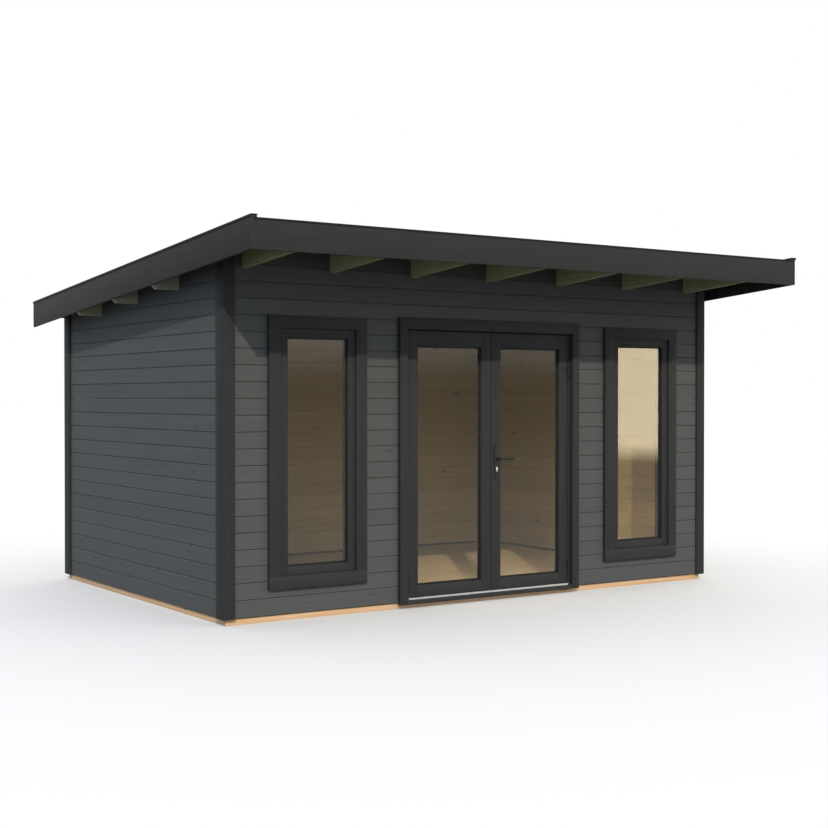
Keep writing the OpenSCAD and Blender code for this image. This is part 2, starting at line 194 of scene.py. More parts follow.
@dataclass(frozen=True)
class Timber(Finish):
    """Sawn or planed softwood, bare or stained: streaks along the board, knots and a tone per board."""

    early: str
    late: str
    run: Run
    knot: str = ""
    grain: float = 14.0
    reach: float = 620.0
    contrast: float = 0.6
    gloss: float = 0.62
    gloss_drift: float = 0.07
    shine: float = 0.5
    relief: float = 0.25
    boards: BoardPitch | None = None
    spread: float = 0.05
    board_shift: float = 19.0
    streak_span: float = 0.168
    knots_apart: tuple[float, float] = (470.0, 104.0)

    def stretched(self, tree: Tree, place: Socket, along: float, across: float) -> Node:
        """Add a mapping that stretches a pattern along the grain to two sizes."""
        sizes = [along if way else across for way in self.run.value]
        return add_node(tree, "Mapping", {"Scale": [1 / (MM * size) for size in sizes]}, {"Vector": place})

    def chance(self, tree: Tree, place: Socket) -> Node:
        """Add a chance value and colour that each board has to itself.

        Args:
            tree: Tree of the material.
            place: Place on the piece.

        Returns:
            The node with value and colour.
        """
        row = add_node(tree, "SeparateXYZ", links={0: place}).outputs[self.boards.axis]
        row = add_node(tree, "Math", {"operation": "SUBTRACT", 1: self.boards.start * MM}, {0: row})
        row = add_node(tree, "Math", {"operation": "DIVIDE", 1: self.boards.cover * MM}, {0: row})
        row = add_node(tree, "Math", {"operation": "FLOOR"}, {0: row})
        return add_node(tree, "TexWhiteNoise", {"noise_dimensions": "1D"}, {"W": row})

    def shader(self, tree: Tree) -> Node:
        """Add streaks, knots, board tones and a fine raised grain.

        Args:
            tree: Empty tree of the material.

        Returns:
            The surface.
        """
        place = add_node(tree, "TexCoord").outputs["Object"]
        grain = self.stretched(tree, place, self.reach, self.grain)
        if self.boards:
            chance = self.chance(tree, place)
            shift = add_node(tree, "VectorMath", {"operation": "SCALE", "Scale": self.board_shift},
                             {0: chance.outputs["Color"]})
            grain = add_node(tree, "VectorMath", {"operation": "ADD"}, {0: grain, 1: shift})
        streak = add_node(tree, "TexNoise", {"Scale": 1.0, "Detail": 5.0, "Roughness": 0.62,
                                             "Distortion": 0.35}, {"Vector": grain})
        low = 0.5 - self.streak_span / self.contrast
        mask = add_node(tree, "MapRange", {"From Min": low, "From Max": 1 - low}, {"Value": streak})
        colour = add_node(tree, "Mix", {"data_type": "RGBA", A: linear(self.early), B: linear(self.late)},
                          {0: mask})
        if self.knot:
            cell = self.stretched(tree, place, *self.knots_apart)
            near = add_node(tree, "TexVoronoi", {"Scale": 1.0, "Randomness": 0.9}, {"Vector": cell})
            ring = add_node(tree, "MapRange", {"interpolation_type": "SMOOTHSTEP", "From Min": 0.035,
                                               "From Max": 0.115, "To Min": 0.85, "To Max": 0.0},
                            {"Value": near})
            colour = add_node(tree, "Mix", {"data_type": "RGBA", B: linear(self.knot)}, {0: ring, A: colour})
        if self.boards:
            tone = add_node(tree, "MapRange", {"To Min": 1 - self.spread, "To Max": 1 + self.spread},
                            {"Value": chance})
            colour = add_node(tree, "VectorMath", {"operation": "SCALE"}, {0: colour, "Scale": tone})
        pores = add_node(tree, "TexNoise", {"Scale": 2.6, "Detail": 3.0}, {"Vector": grain})
        rough = add_node(tree, "MapRange", {"To Min": self.gloss - self.gloss_drift,
                                            "To Max": self.gloss + self.gloss_drift}, {"Value": pores})
        bump = add_node(tree, "Bump", {"Strength": 0.6, "Distance": self.relief * MM}, {"Height": pores})
        return add_node(tree, "BsdfPrincipled", {"IOR": 1.5, "Specular IOR Level": self.shine},
                        {"Base Color": colour, "Roughness": rough, "Normal": bump})


@dataclass(frozen=True)
class Felt(Finish):
    """Bitumen sheet with crushed slate rolled into it: nearly black, rough, with pale and dark grit."""

    ground: str
    grit: str
    grain: float = 5.0

    def shader(self, tree: Tree) -> Node:
        """Add grit in two tones; 2 mm grit is drawn at 5 mm so that it shows.

        Args:
            tree: Empty tree of the material.

        Returns:
            The surface.
        """
        place = add_node(tree, "TexCoord").outputs["Object"]
        grit = add_node(tree, "TexVoronoi", {"Scale": 1 / (self.grain * MM)}, {"Vector": place})
        drift = add_node(tree, "TexNoise", {"Scale": 3.0, "Detail": 4.0}, {"Vector": place})
        mask = add_node(tree, "Math", {"operation": "MULTIPLY"}, {0: grit.outputs["Color"], 1: drift})
        colour = add_node(tree, "Mix", {"data_type": "RGBA", A: linear(self.ground), B: linear(self.grit)},
                          {0: mask})
        bump = add_node(tree, "Bump", {"Strength": 0.7, "Distance": 0.8 * MM}, {"Height": grit})
        return add_node(tree, "BsdfPrincipled", {"Roughness": 0.92, "IOR": 1.5},
                        {"Base Color": colour, "Normal": bump})


@dataclass(frozen=True)
class Metal(Finish):
    """Metal fitting, bare and brushed along one way or under a matt coat."""

    tone: str
    worn: str
    metallic: float
    roughness: float
    scratch: Triple = (4.0, 900.0, 900.0)
    relief: float = 0.02
    shine: float = 0.5
    gloss_drift: float = 0.08

    def shader(self, tree: Tree) -> Node:
        """Add brush lines or the fine peel of the coat to colour, gloss and relief.

        Args:
            tree: Empty tree of the material.

        Returns:
            The surface.
        """
        place = add_node(tree, "TexCoord").outputs["Object"]
        lines = add_node(tree, "Mapping", {"Scale": self.scratch}, {"Vector": place})
        brush = add_node(tree, "TexNoise", {"Scale": 1.0, "Detail": 2.0}, {"Vector": lines})
        colour = add_node(tree, "Mix", {"data_type": "RGBA", A: linear(self.tone), B: linear(self.worn)},
                          {0: brush})
        rough = add_node(tree, "MapRange", {"To Min": self.roughness - self.gloss_drift,
                                            "To Max": self.roughness + self.gloss_drift}, {"Value": brush})
        bump = add_node(tree, "Bump", {"Strength": 0.4, "Distance": self.relief * MM}, {"Height": brush})
        return add_node(tree, "BsdfPrincipled", {"Metallic": self.metallic, "Specular IOR Level": self.shine},
                        {"Base Color": colour, "Roughness": rough, "Normal": bump})


@dataclass(frozen=True)
class RubberAndPaintedShade(Finish):
    """Extruded sealing rubber: dull, with a faint bloom. Also the painted shade in the groove at the foot of
    the walls, as dark brown rubber.
    """

    tone: str
    bloom: str
    patch: float = 30.0

    def shader(self, tree: Tree) -> Node:
        """Add the bloom as soft patches.

        Args:
            tree: Empty tree of the material.

        Returns:
            The surface.
        """
        place = add_node(tree, "TexCoord").outputs["Object"]
        patch = add_node(tree, "TexNoise", {"Scale": 1 / (self.patch * MM), "Detail": 3.0}, {"Vector": place})
        colour = add_node(tree, "Mix", {"data_type": "RGBA", A: linear(self.tone), B: linear(self.bloom)},
                          {0: patch})
        return add_node(tree, "BsdfPrincipled", {"Roughness": 0.7, "IOR": 1.5}, {"Base Color": colour})


@dataclass(frozen=True)
class Glazing(Finish):
    """Float glass: clear, mirror smooth, with a faint warm tint, and it lets lamps through."""

    tint: str

    def shader(self, tree: Tree) -> Node:
        """Add clear glass whose shadow is only its tint.

        Args:
            tree: Empty tree of the material.

        Returns:
            The surface.
        """
        tint = linear(self.tint)
        pane = add_node(tree, "BsdfPrincipled", {"Base Color": tint, "Roughness": 0.0, "IOR": 1.52,
                                                 "Transmission Weight": 1.0})
        clear = add_node(tree, "BsdfTransparent", {"Color": tint})
        lamp = add_node(tree, "LightPath").outputs["Is Shadow Ray"]
        return add_node(tree, "MixShader", links={0: lamp, 1: pane, 2: clear})


FLOOR_BOARDS = 33
ROOF_BOARDS = 54
WALL_PITCH = BoardPitch(2, 162.7, 114.0)
FLOOR_PITCH = BoardPitch(1, -1150.5, 2908 / FLOOR_BOARDS)
ROOF_PITCH = BoardPitch(0, -2434.0, 4868 / ROOF_BOARDS)

# Planed spruce under a mid grey opaque stain: even and matt, the grain only just showing through.
STAIN = Timber("grey_stained_spruce", "#606364", "#565959", Run.LEVEL, "#4d4f50", gloss=0.7, shine=0.12,
               boards=WALL_PITCH, spread=0.035)
# The same boards bare inside, and the boards of floor and roof: pale, with darker rings and brown knots.
BARE_WALL = Timber("bare_spruce_wall", "#cdc0a1", "#b5a37e", Run.LEVEL, "#7d6546", contrast=0.4,
                   boards=WALL_PITCH, spread=0.06)
BARE_FLOOR = Timber("bare_spruce_floor", "#d2c5ac", "#bfae92", Run.X, "#7d6546", contrast=0.45,
                    boards=FLOOR_PITCH, spread=0.07)
BARE_ROOF = Timber("bare_spruce_roof", "#c9bb9c", "#b09d78", Run.Y, "#766040", boards=ROOF_PITCH, spread=0.08)
# Planed cover boards under a charcoal opaque stain: darker and a little silkier than the walls.
CHARCOAL = {run: Timber("charcoal_stained_board_" + run.name.lower(), "#3e3f41", "#353638", run, gloss=0.6,
                        shine=0.1, relief=0.2) for run in (Run.X, Run.Y, Run.Z)}
# Sawn pine pressure treated with copper salts: pale olive green, greyer on the purlins, with strong rings.
TREATED = {run: Timber("treated_pine_" + run.name.lower(), early, late, run, "#665f42", grain=11.0,
                       contrast=0.9, gloss=0.75, relief=0.5)
           for run, early, late in ((Run.X, "#c1c5a9", "#a1a68c"), (Run.Y, "#c6c89c", "#a5a97f"))}
# Sawn larch base timber: pale tan and coarse.
BASE = {run: Timber("sawn_larch_" + run.name.lower(), "#f6d1a9", "#e2b384", run, "#916b47", grain=12.0,
                    contrast=0.9, gloss=0.78, relief=0.5) for run in (Run.X, Run.Y)}
# Mineral felt: slate grey grit on black bitumen. The cappings over the edges are plain black.
FELT = Felt("slate_grit_felt", "#1f2022", "#55575a")
CAPPING = Felt("black_capping_felt", "#0d0d0e", "#28292b")
# Clear float glass: hardly any colour of its own.
GLASS = Glazing("clear_float_glass", "#f3f0e8")
# Black rubber round the panes and on the stops: a dull dark line.
RUBBER = RubberAndPaintedShade("sealing_rubberandpaintedshade", "#0d0d0e", "#1b1b1c")
# Painted shade: the faces of the groove at the foot of the walls get dark brown rubber, so that the groove
# reads as a dark shadow line.
FOOT_GROOVE_PAINTED_SHADE = RubberAndPaintedShade("foot_groove_painted_shade", "#33261a", "#443424")
# Extruded aluminium, brushed along its length: bright and cool, with long fine lines.
ALUMINIUM = Metal("brushed_aluminium", "#dfe7f0", "#c9d2dc", 1.0, 0.45)
# Powder coated steel: dark grey, matt, with a fine peel.
COATED = Metal("powder_coated_steel", "#202124", "#28292c", 0.0, 0.5, (420.0, 420.0, 420.0), 0.05, 0.32)
# Nickel plated brass, turned and polished: bright and a little warm.
NICKEL = Metal("satin_nickel", "#fdfdfc", "#f0efec", 1.0, 0.5, (260.0, 260.0, 260.0))


def deselect() -> None:
    """Deselect everything, so that an operator acts on the new piece alone."""
    bpy.ops.object.select_all(action="DESELECT")


def work_on(shape: Shape) -> None:
    """Make one piece the only selected and active one."""
    deselect()
    shape.select_set(True)
    bpy.context.view_layer.objects.active = shape


@contextmanager
def editing(shape: Shape) -> Iterator[None]:
    """Keep one piece in edit mode for the work on it.

    Args:
        shape: Piece that is worked on.
    """
    work_on(shape)
    bpy.ops.object.mode_set(mode="EDIT")
    yield
    bpy.ops.object.mode_set(mode="OBJECT")


def placed() -> Shape:
    """Return the primitive that was just added, with its place, turn and size in its mesh."""
    bpy.ops.object.transform_apply(location=True, rotation=True, scale=True)
    return bpy.context.active_object


def pick(shape: Shape, kind: str, test: Callable[[object], bool]) -> None:
    """Select parts of a mesh in edit mode by their place.

    Args:
        shape: Piece that is in edit mode.
        kind: VERT, EDGE or FACE.
        test: Says whether a bmesh vertex, edge or face is wanted.
    """
    bpy.ops.mesh.select_mode(type=kind)
    bpy.ops.mesh.select_all(action="DESELECT")
    mesh = bmesh.from_edit_mesh(shape.data)
    for item in {"VERT": mesh.verts, "EDGE": mesh.edges, "FACE": mesh.faces}[kind]:
        if test(item):
            item.select_set(True)
    bmesh.update_edit_mesh(shape.data)


def bevel(width: float, steps: int) -> None:
    """Bevel the selected edges in edit mode to a width in millimetres."""
    bpy.ops.mesh.bevel(offset=width * MM, segments=steps, affect="EDGES")


def block(low: Triple, high: Triple) -> Shape:
    """Add a box between two corners as the start of a piece.

    Args:
        low: Lowest corner in millimetres.
        high: Highest corner in millimetres.

    Returns:
        The box, at the origin with its place in its mesh.
    """
    deselect()
    bpy.ops.mesh.primitive_cube_add(size=1.0, location=[(a + b) / 2 * MM for a, b in zip(low, high)])
    bpy.context.active_object.scale = [(b - a) * MM for a, b in zip(low, high)]
    return placed()


def plank(low: Triple, high: Triple, finish: Finish, ease: float) -> Shape:
    """Model a board with all its edges eased.

    Args:
        low: Lowest corner in millimetres.
        high: Highest corner in millimetres.
        finish: Finish of the board.
        ease: Radius of the edges.

    Returns:
        The board.
    """
    shape = block(low, high)
    with editing(shape):
        bpy.ops.mesh.select_all(action="SELECT")
        bevel(ease, 2)
    shape.data.materials.append(finish.material())
    return shape


def chamfered(low: Triple, high: Triple, axis: int, chamfer: float, keep: Callable[[Vector], bool]) -> Shape:
    """Model a board whose long edges are chamfered for a V joint.

    Args:
        low: Lowest corner in millimetres.
        high: Highest corner in millimetres.
        axis: Number of the axis along the board.
        chamfer: Width of the chamfer.
        keep: Says by its middle, from the middle of the board, whether a long edge gets the chamfer.

    Returns:
        The board.
    """
    shape = block(low, high)
    middle = Vector([(a + b) / 2 * MM for a, b in zip(low, high)])

    def wanted(edge: bmesh.types.BMEdge) -> bool:
        """Tell a long edge that the joint takes from the others."""
        a, b = (v.co for v in edge.verts)
        return abs((b - a).normalized()[axis]) > ALONG and keep((a + b) / 2 - middle)

    with editing(shape):
        pick(shape, "EDGE", wanted)
        bevel(chamfer, 1)
    return shape


def rod(start: Triple, end: Triple, radius: float, finish: Finish, ease: float, sides: int = ROUND) -> Shape:
    """Model a round bar with eased rims between two points.

    Args:
        start: Middle of the first end.
        end: Middle of the second end.
        radius: Radius of the bar.
        finish: Finish of the bar.
        ease: Radius of its rims.
        sides: Number of sides.

    Returns:
        The bar.
    """
    a, b = Vector(start), Vector(end)
    deselect()
    bpy.ops.mesh.primitive_cylinder_add(vertices=sides, radius=radius * MM, depth=(b - a).length * MM,
                                        location=(a + b) / 2 * MM,
                                        rotation=(b - a).to_track_quat("Z", "Y").to_euler())
    shape, way = placed(), (b - a).normalized()
    with editing(shape):
        pick(shape, "EDGE", lambda e: abs((e.verts[0].co - e.verts[1].co).dot(way)) < TINY)
        bevel(ease, 3)
    shape.data.materials.append(finish.material())
    return shape


def screw(place: Triple, radius: float, finish: Finish) -> Shape:
    """Model a screw head with a drive recess that faces the front.

    Args:
        place: Middle of the head on the face that it sits in.
        radius: Radius of the head.
        finish: Finish of the screw.

    Returns:
        The screw head.
    """
    sunk, proud, rim = 0.6, 0.9, 0.4
    land_share, recess = 0.45, 0.5
    x, y, z = place
    head = rod((x, y + sunk, z), (x, y - proud, z), radius, finish, rim, 20)
    with editing(head):
        pick(head, "FACE", lambda face: face.normal.y < -FACING and len(face.verts) > CORNERS)
        bpy.ops.mesh.inset(thickness=radius * land_share * MM)
        bpy.ops.mesh.extrude_region_move(TRANSFORM_OT_translate={"value": (0, recess * MM, 0)})
    return head


def repeat(shape: Shape, count: int, step: Triple) -> None:
    """Repeat a piece in a row.

    Args:
        shape: First piece of the row, which becomes the whole row.
        count: Number of pieces.
        step: From one piece to the next, in millimetres.
    """
    work_on(shape)
    row = shape.modifiers.new("row", "ARRAY")
    row.count = count
    row.use_relative_offset = False
    row.use_constant_offset = True
    row.constant_offset_displace = [s * MM for s in step]
    bpy.ops.object.modifier_apply(modifier=row.name)


def join(name: str, parts: Sequence[Shape]) -> Shape:
    """Join parts into one piece.

    Args:
        name: Name of the piece.
        parts: Its parts, which keep their finishes.

    Returns:
        The piece.
    """
    work_on(parts[0])
    for part in parts:
        part.select_set(True)
    if len(parts) > 1:
        bpy.ops.object.join()
    parts[0].name = parts[0].data.name = name
    return parts[0]


def copy(shape: Shape) -> Shape:
    """Copy a piece.

    Args:
        shape: Piece that is copied.

    Returns:
        The copy, with a mesh of its own.
    """
    twin = shape.copy()
    twin.data = shape.data.copy()
    bpy.context.scene.collection.objects.link(twin)
    return twin


def flip(shape: Shape, axis: int, place: float) -> Shape:
    """Mirror a piece in a plane and turn its faces outwards again.

    Args:
        shape: Piece that is mirrored.
        axis: Number of the axis that is turned round.
        place: Where the plane lies on that axis, in millimetres.

    Returns:
        The same piece.
    """
    scale, move = Vector((1, 1, 1, 1)), Vector((0, 0, 0))
    scale[axis] = -1
    move[axis] = 2 * place * MM
    shape.data.transform(Matrix.Translation(move) @ Matrix.Diagonal(scale))
    with editing(shape):
        bpy.ops.mesh.select_all(action="SELECT")
        bpy.ops.mesh.normals_make_consistent(inside=False)
    return shape


def cut(shape: Shape, cutters: Sequence[Shape], operation: str = "DIFFERENCE") -> None:
    """Cut other shapes out of a piece, or add them to it.

    Args:
        shape: Piece that is cut.
        cutters: Shapes that don't touch each other. They are used up.
        operation: DIFFERENCE or UNION.
    """
    tool = join("cutter", cutters)
    work_on(shape)
    saw = shape.modifiers.new("saw", "BOOLEAN")
    saw.operation = operation
    saw.solver = "EXACT"
    saw.object = tool
    bpy.ops.object.modifier_apply(modifier=saw.name)
    bpy.data.objects.remove(tool)


def trim(shape: Shape, point: Triple, normal: Triple) -> None:
    """Saw off what lies beyond a plane and close the cut.

    Args:
        shape: Piece that is trimmed.
        point: A point of the plane, in millimetres.
        normal: Way that the waste lies.
    """
    with editing(shape):
        bpy.ops.mesh.select_all(action="SELECT")
        bpy.ops.mesh.bisect(plane_co=[p * MM for p in point], plane_no=normal, use_fill=True,
                            clear_outer=True)


def paint(shape: Shape, finishes: Sequence[Finish], choose: Callable[[Vector], int] | None = None) -> None:
    """Give the faces of a piece their finishes by their place.

    Args:
        shape: Piece that is painted.
        finishes: Finishes that it has.
        choose: Gives the number of the finish from the middle of a face, where there are several.
    """
    work_on(shape)
    shape.data.materials.clear()
    for finish in finishes:
        shape.data.materials.append(finish.material())
    for number in range(1, len(finishes)):
        with editing(shape):
            pick(shape, "FACE", lambda face: choose(face.calc_center_median()) == number)
            shape.active_material_index = number
            bpy.ops.object.material_slot_assign()


def dress_node(node: str, finish: Finish) -> None:
    """Give a node of the frame that stays in view its finish."""
    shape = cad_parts[node]
    shape.data.materials.clear()
    shape.data.materials.append(finish.material())


@dataclass(frozen=True)
class Span:
    """Lowest and highest corner of a space, in millimetres."""

    low: Vector
    high: Vector

    @classmethod
    def of(cls, *nodes: str) -> "Span":
        """Span one or more nodes of the frame.

        Args:
            nodes: Names of the nodes.

        Returns:
            The space that holds them all.
        """
        boxes = [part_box(node) for node in nodes]
        low = [min(box[0][i] for box in boxes) / MM for i in range(3)]
        high = [max(box[1][i] for box in boxes) / MM for i in range(3)]
        return cls(Vector(low), Vector(high))

    def edge(self, axis: int, way: int) -> float:
        """Lowest value along an axis for a negative way, or else the highest."""
        return (self.low if way < 0 else self.high)[axis]


@dataclass
class Piece:
    """A finished piece, its material slot, the nodes that it stands for and the body that carries it."""

    shape: Shape
    slot: str
    nodes: tuple[str, ...] = ()
    body: str = "cabin"

    @classmethod
    def of(cls, name: str, parts: Sequence[Shape], slot: str, *nodes: str) -> "Piece":
        """Join parts into a named piece of the cabin that stands for nodes of the frame."""
        return cls(join(name, parts), slot, nodes)

    def settle(self, angle: float = 40.0) -> None:
        """Shade the eased edges smooth, hang the piece on its body, hide the nodes that it stands for and log
        it.

        Args:
            angle: Corners sharper than this, in degrees, stay sharp.
        """
        work_on(self.shape)
        bpy.ops.object.shade_smooth_by_angle(angle=math.radians(angle))
        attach(self.shape, self.body)
        if self.nodes:
            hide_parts(*self.nodes)
        LOG.info("%s on %s: %d faces", self.shape.name, self.body, len(self.shape.data.polygons))


@dataclass(frozen=True)
class RoofLine:
    """Sloping top line of the barge boards, from which the depths of the roof are measured."""

    tip: float
    tail: float
    top: float
    pitch: float = 4.4
    upstand: float = 19.0
    felt: float = 4.0
    deck: float = 19.0
    seat: float = 0.1

    @property
    def slope(self) -> float:
        """Fall per unit of depth."""
        return math.tan(math.radians(self.pitch))

    @property
    def under_deck(self) -> float:
        """Depth of what the roof boards lie on."""
        return self.upstand + self.felt + self.deck + self.seat

    def height(self, y: float, drop: float = 0.0) -> float:
        """Height of a depth of the roof at a place between front and back."""
        return self.top - self.slope * (y - self.tip) - drop

    def lean(self, shape: Shape) -> Shape:
        """Tilt a piece that was built level at its heights over the middle of the building."""
        shape.data.transform(Matrix(((1, 0, 0, 0), (0, 1, 0, 0), (0, -self.slope, 1, 0), (0, 0, 0, 1))))
        return shape

    def layer(self, x: Triple, y: Triple, upper: float, lower: float, finish: Finish, ease: float) -> Shape:
        """Model a board that lies parallel to the roof between two depths.

        Args:
            x: Both side ends, in any order.
            y: Front and back end.
            upper: Depth of its upper face.
            lower: Depth of its lower face.
            finish: Finish of the board.
            ease: Radius of its edges.

        Returns:
            The board.
        """
        low, high = (min(x), y[0], self.height(0, lower)), (max(x), y[1], self.height(0, upper))
        return self.lean(plank(low, high, finish, ease))

    def saw(self, shape: Shape, drop: float) -> None:
        """Saw a piece off along a depth of the roof."""
        trim(shape, (0, self.tip, self.top - drop), (0, self.slope, 1))


@dataclass(frozen=True)
class BeamRow:
    """Equal beams side by side: their node, axis number of the row, count, width and depth."""

    node: str
    axis: int
    count: int
    width: float
    depth: float

    def starts(self) -> list[float]:
        """Find where each beam starts along the row.

        Returns:
            One place a beam.
        """
        space = Span.of(self.node)
        first, last = space.low[self.axis], space.high[self.axis] - self.width
        return [first + (last - first) * i / (self.count - 1) for i in range(self.count)]


CAD_LOW, CAD_HIGH = (Vector(corner) / MM for corner in CAD_BOX)
ROOF = RoofLine(CAD_LOW.y, CAD_HIGH.y, CAD_HIGH.z)
RAFTERS = BeamRow("front_rafters", 0, 7, 45.0, 144.0)
PURLINS = BeamRow("purlins", 1, 3, 45.0, 196.0)


@dataclass
class BaseFrame:
    """Beams and joists that the walls and the floor stand on."""

    beam: float = 120.0
    joist: float = 60.0
    joists: int = 5
    ease: float = 3.0

    def build(self) -> list[Piece]:
        """Model the ring of beams and the joists.

        Returns:
            The long beams, the short beams and the joists.
        """
        ring, inner = Span.of("base_beams_long"), Span.of("base_beams_short")
        left, right, top = ring.low.x, ring.high.x, ring.high.z

        def crossing(x: float, width: float) -> Shape:
            """Model a beam or joist that runs from front to back."""
            return plank((x, inner.low.y, 0), (x + width, inner.high.y, top), BASE[Run.Y], self.ease)

        along = [plank((left, y, 0), (right, y + self.beam, top), BASE[Run.X], self.ease)
                 for y in (ring.low.y, ring.high.y - self.beam)]
        across = [crossing(x, self.beam) for x in (left, right - self.beam)]
        bay = (right - left - 2 * self.beam) / (self.joists + 1)
        row = crossing(left + self.beam + bay - self.joist / 2, self.joist)
        repeat(row, self.joists, (bay, 0, 0))
        return [Piece.of("base_beams_front_back", along, "base_timber", "base_beams_long"),
                Piece.of("base_beams_sides", across, "base_timber", "base_beams_short"),
                Piece.of("joist_row", [row], "base_timber", "floor_joists")]


@dataclass
class BoardFloor:
    """Tongued floor boards laid across the joists, notched round the door sill."""

    chamfer: float = 1.5
    gap: float = 0.8
    notch: float = 5.0
    spare: float = 9.0
    past: float = 10.0

    def build(self) -> list[Piece]:
        """Model the floor boards.

        Returns:
            The floor.
        """
        room, sill = Span.of("floor"), Span.of("door_sill", "door_jambs")
        left, right, back = room.low.x + self.spare, room.high.x - self.spare, room.high.y - self.spare
        cover = (back - room.low.y) / FLOOR_BOARDS
        floor = chamfered((left, *room.low.yz), (right, room.low.y + cover - self.gap, room.high.z), 0,
                          self.chamfer, lambda way: way.z > 0)
        repeat(floor, FLOOR_BOARDS, (0, cover, 0))
        cut(floor, [block((sill.low.x - self.notch, sill.low.y, room.low.z - self.past),
                          (sill.high.x + self.notch, sill.high.y + self.notch, room.high.z + self.past))])
        paint(floor, [BARE_FLOOR])
        return [Piece.of("floor_boards", [floor], "bare_timber", "floor")]


@dataclass
class BoardWall:
    """Wall of lying boards with a V joint on both faces, stained outside and bare inside."""

    name: str
    nodes: tuple[str, ...]
    outward: Vector
    holes: list[Shape] = field(default_factory=list)
    chamfer: float = 5.5
    gap: float = 0.6
    foot: float = 22.0
    foot_deep: float = 21.0

    def course(self, space: Span, bottom: float, top: float) -> Shape:
        """Model one course of boards between two heights."""
        low, high = (*space.low.xy, bottom + self.gap / 2), (*space.high.xy, top - self.gap / 2)
        return chamfered(low, high, 1 if self.outward.x else 0, self.chamfer, lambda way: True)

    def groove(self, space: Span, floor: float) -> Shape:
        """Shape the groove that is left along the inner foot of the wall, above the floor boards.

        Args:
            space: Space of the wall.
            floor: Height of the floor boards.

        Returns:
            What is cut out.
        """
        across = Vector([abs(part) for part in self.outward])
        run, size = Vector((1, 1, 1)) - across, space.high - space.low
        inner = (space.low + space.high) / 2 - self.outward * (size.dot(across) / 2)
        reach = run * size.dot(run) + across * self.foot_deep
        return block((*(inner - reach).xy, floor), (*(inner + reach).xy, floor + self.foot))

    def build(self) -> Piece:
        """Model the wall, saw its top to the roof and cut its openings.

        Returns:
            The wall.
        """
        space, floor = Span.of(*self.nodes), Span.of("floor").high.z
        start, cover = WALL_PITCH.start, WALL_PITCH.cover
        rest = self.course(space, start, start + cover)
        repeat(rest, math.ceil((space.high.z - start) / cover), (0, 0, cover))
        wall = join(self.name, [self.course(space, space.low.z, start), rest])
        ROOF.saw(wall, ROOF.under_deck)
        if self.holes:
            cut(wall, self.holes)
        cut(wall, [self.groove(space, floor)])
        heart = (space.low + space.high) / 2 * MM

        def coat(middle: Vector) -> int:
            """Tell apart the stained face, the bare face and the groove whose faces carry the painted shade.
            """
            out = (middle - heart).dot(self.outward)
            level = abs(middle.z / MM - floor - self.foot / 2) < self.foot
            return 2 if level and -self.foot_deep * MM < out < 0 else int(out < 0)

        # The groove's faces get the dark brown of the painted shade.
        paint(wall, [STAIN, BARE_WALL, FOOT_GROOVE_PAINTED_SHADE], coat)
        return Piece(wall, "wall_boards", self.nodes)


@dataclass
class Walls:
    """The four walls with the openings for door, windows, rafters and purlins."""

    past: float = 30.0

    def openings(self) -> list[Shape]:
        """Shape the openings of the front wall.

        Returns:
            The door, both windows and the seats of the rafters.
        """
        front, door = Span.of("front_wall_header"), Span.of("door_jambs")
        y0, y1 = front.low.y - self.past, front.high.y + self.past
        holes = [block((door.low.x, y0, -self.past), (door.high.x, y1, Span.of("door_head").high.z))]
        for side in Side:
            window = Span.of(side.word + "_window_frame")
            holes.append(block((window.low.x, y0, window.low.z), (window.high.x, y1, window.high.z)))
        foot, top = ROOF.height(0, ROOF.under_deck + RAFTERS.depth), ROOF.height(0) + self.past
        seats = [ROOF.lean(block((x, y0, foot), (x + RAFTERS.width, y1, top))) for x in RAFTERS.starts()]
        return holes + seats

    def seats(self, side: Side) -> list[Shape]:
        """Shape the seats of the purlins in a side wall."""
        low, high = (Span.of(side.word + "_wall").edge(0, way) + way * self.past for way in (-1, 1))
        return [block((low, y, ROOF.height(y, ROOF.under_deck) - PURLINS.depth),
                      (high, y + PURLINS.width, ROOF.top)) for y in PURLINS.starts()]

    def build(self) -> list[Piece]:
        """Model all four walls.

        Returns:
            One piece a wall.
        """
        front = tuple("front_wall_" + part for part in ("piers", "sills", "header", "infill"))
        walls = [BoardWall("wall_boards_front", front, Vector((0, -1, 0)), self.openings()),
                 BoardWall("wall_boards_back", ("back_wall",), Vector((0, 1, 0)))]
        walls += [BoardWall("wall_boards_" + side.word, (side.word + "_wall",), Vector((side.value, 0, 0)),
                            self.seats(side)) for side in Side]
        return [wall.build() for wall in walls]


@dataclass
class CornerCover:
    """Two cover boards in an L on a corner of the walls."""

    end: End
    side: Side
    thickness: float = 16.0
    across: float = 73.0
    ease: float = 2.5

    def build(self) -> Piece:
        """Model both boards and saw their tops to the roof.

        Returns:
            The cover.
        """
        corner = f"{self.end.word}_{self.side.word}"
        space = Span.of("corner_board_" + corner)
        outer, face = space.edge(0, self.side.value), space.edge(1, self.end.value)
        lap, back = face - self.end.value * self.thickness, space.edge(1, -self.end.value)
        boards = []
        for width, start, stop in ((self.thickness + self.across, face, lap), (self.thickness, lap, back)):
            x, y = sorted((outer, outer - self.side.value * width)), sorted((start, stop))
            boards.append(plank((x[0], y[0], space.low.z), (x[1], y[1], ROOF.top), CHARCOAL[Run.Z],
                                self.ease))
        cover = Piece.of("corner_cover_" + corner, boards, "trim_boards", "corner_board_" + corner)
        ROOF.saw(cover.shape, ROOF.under_deck)
        return cover


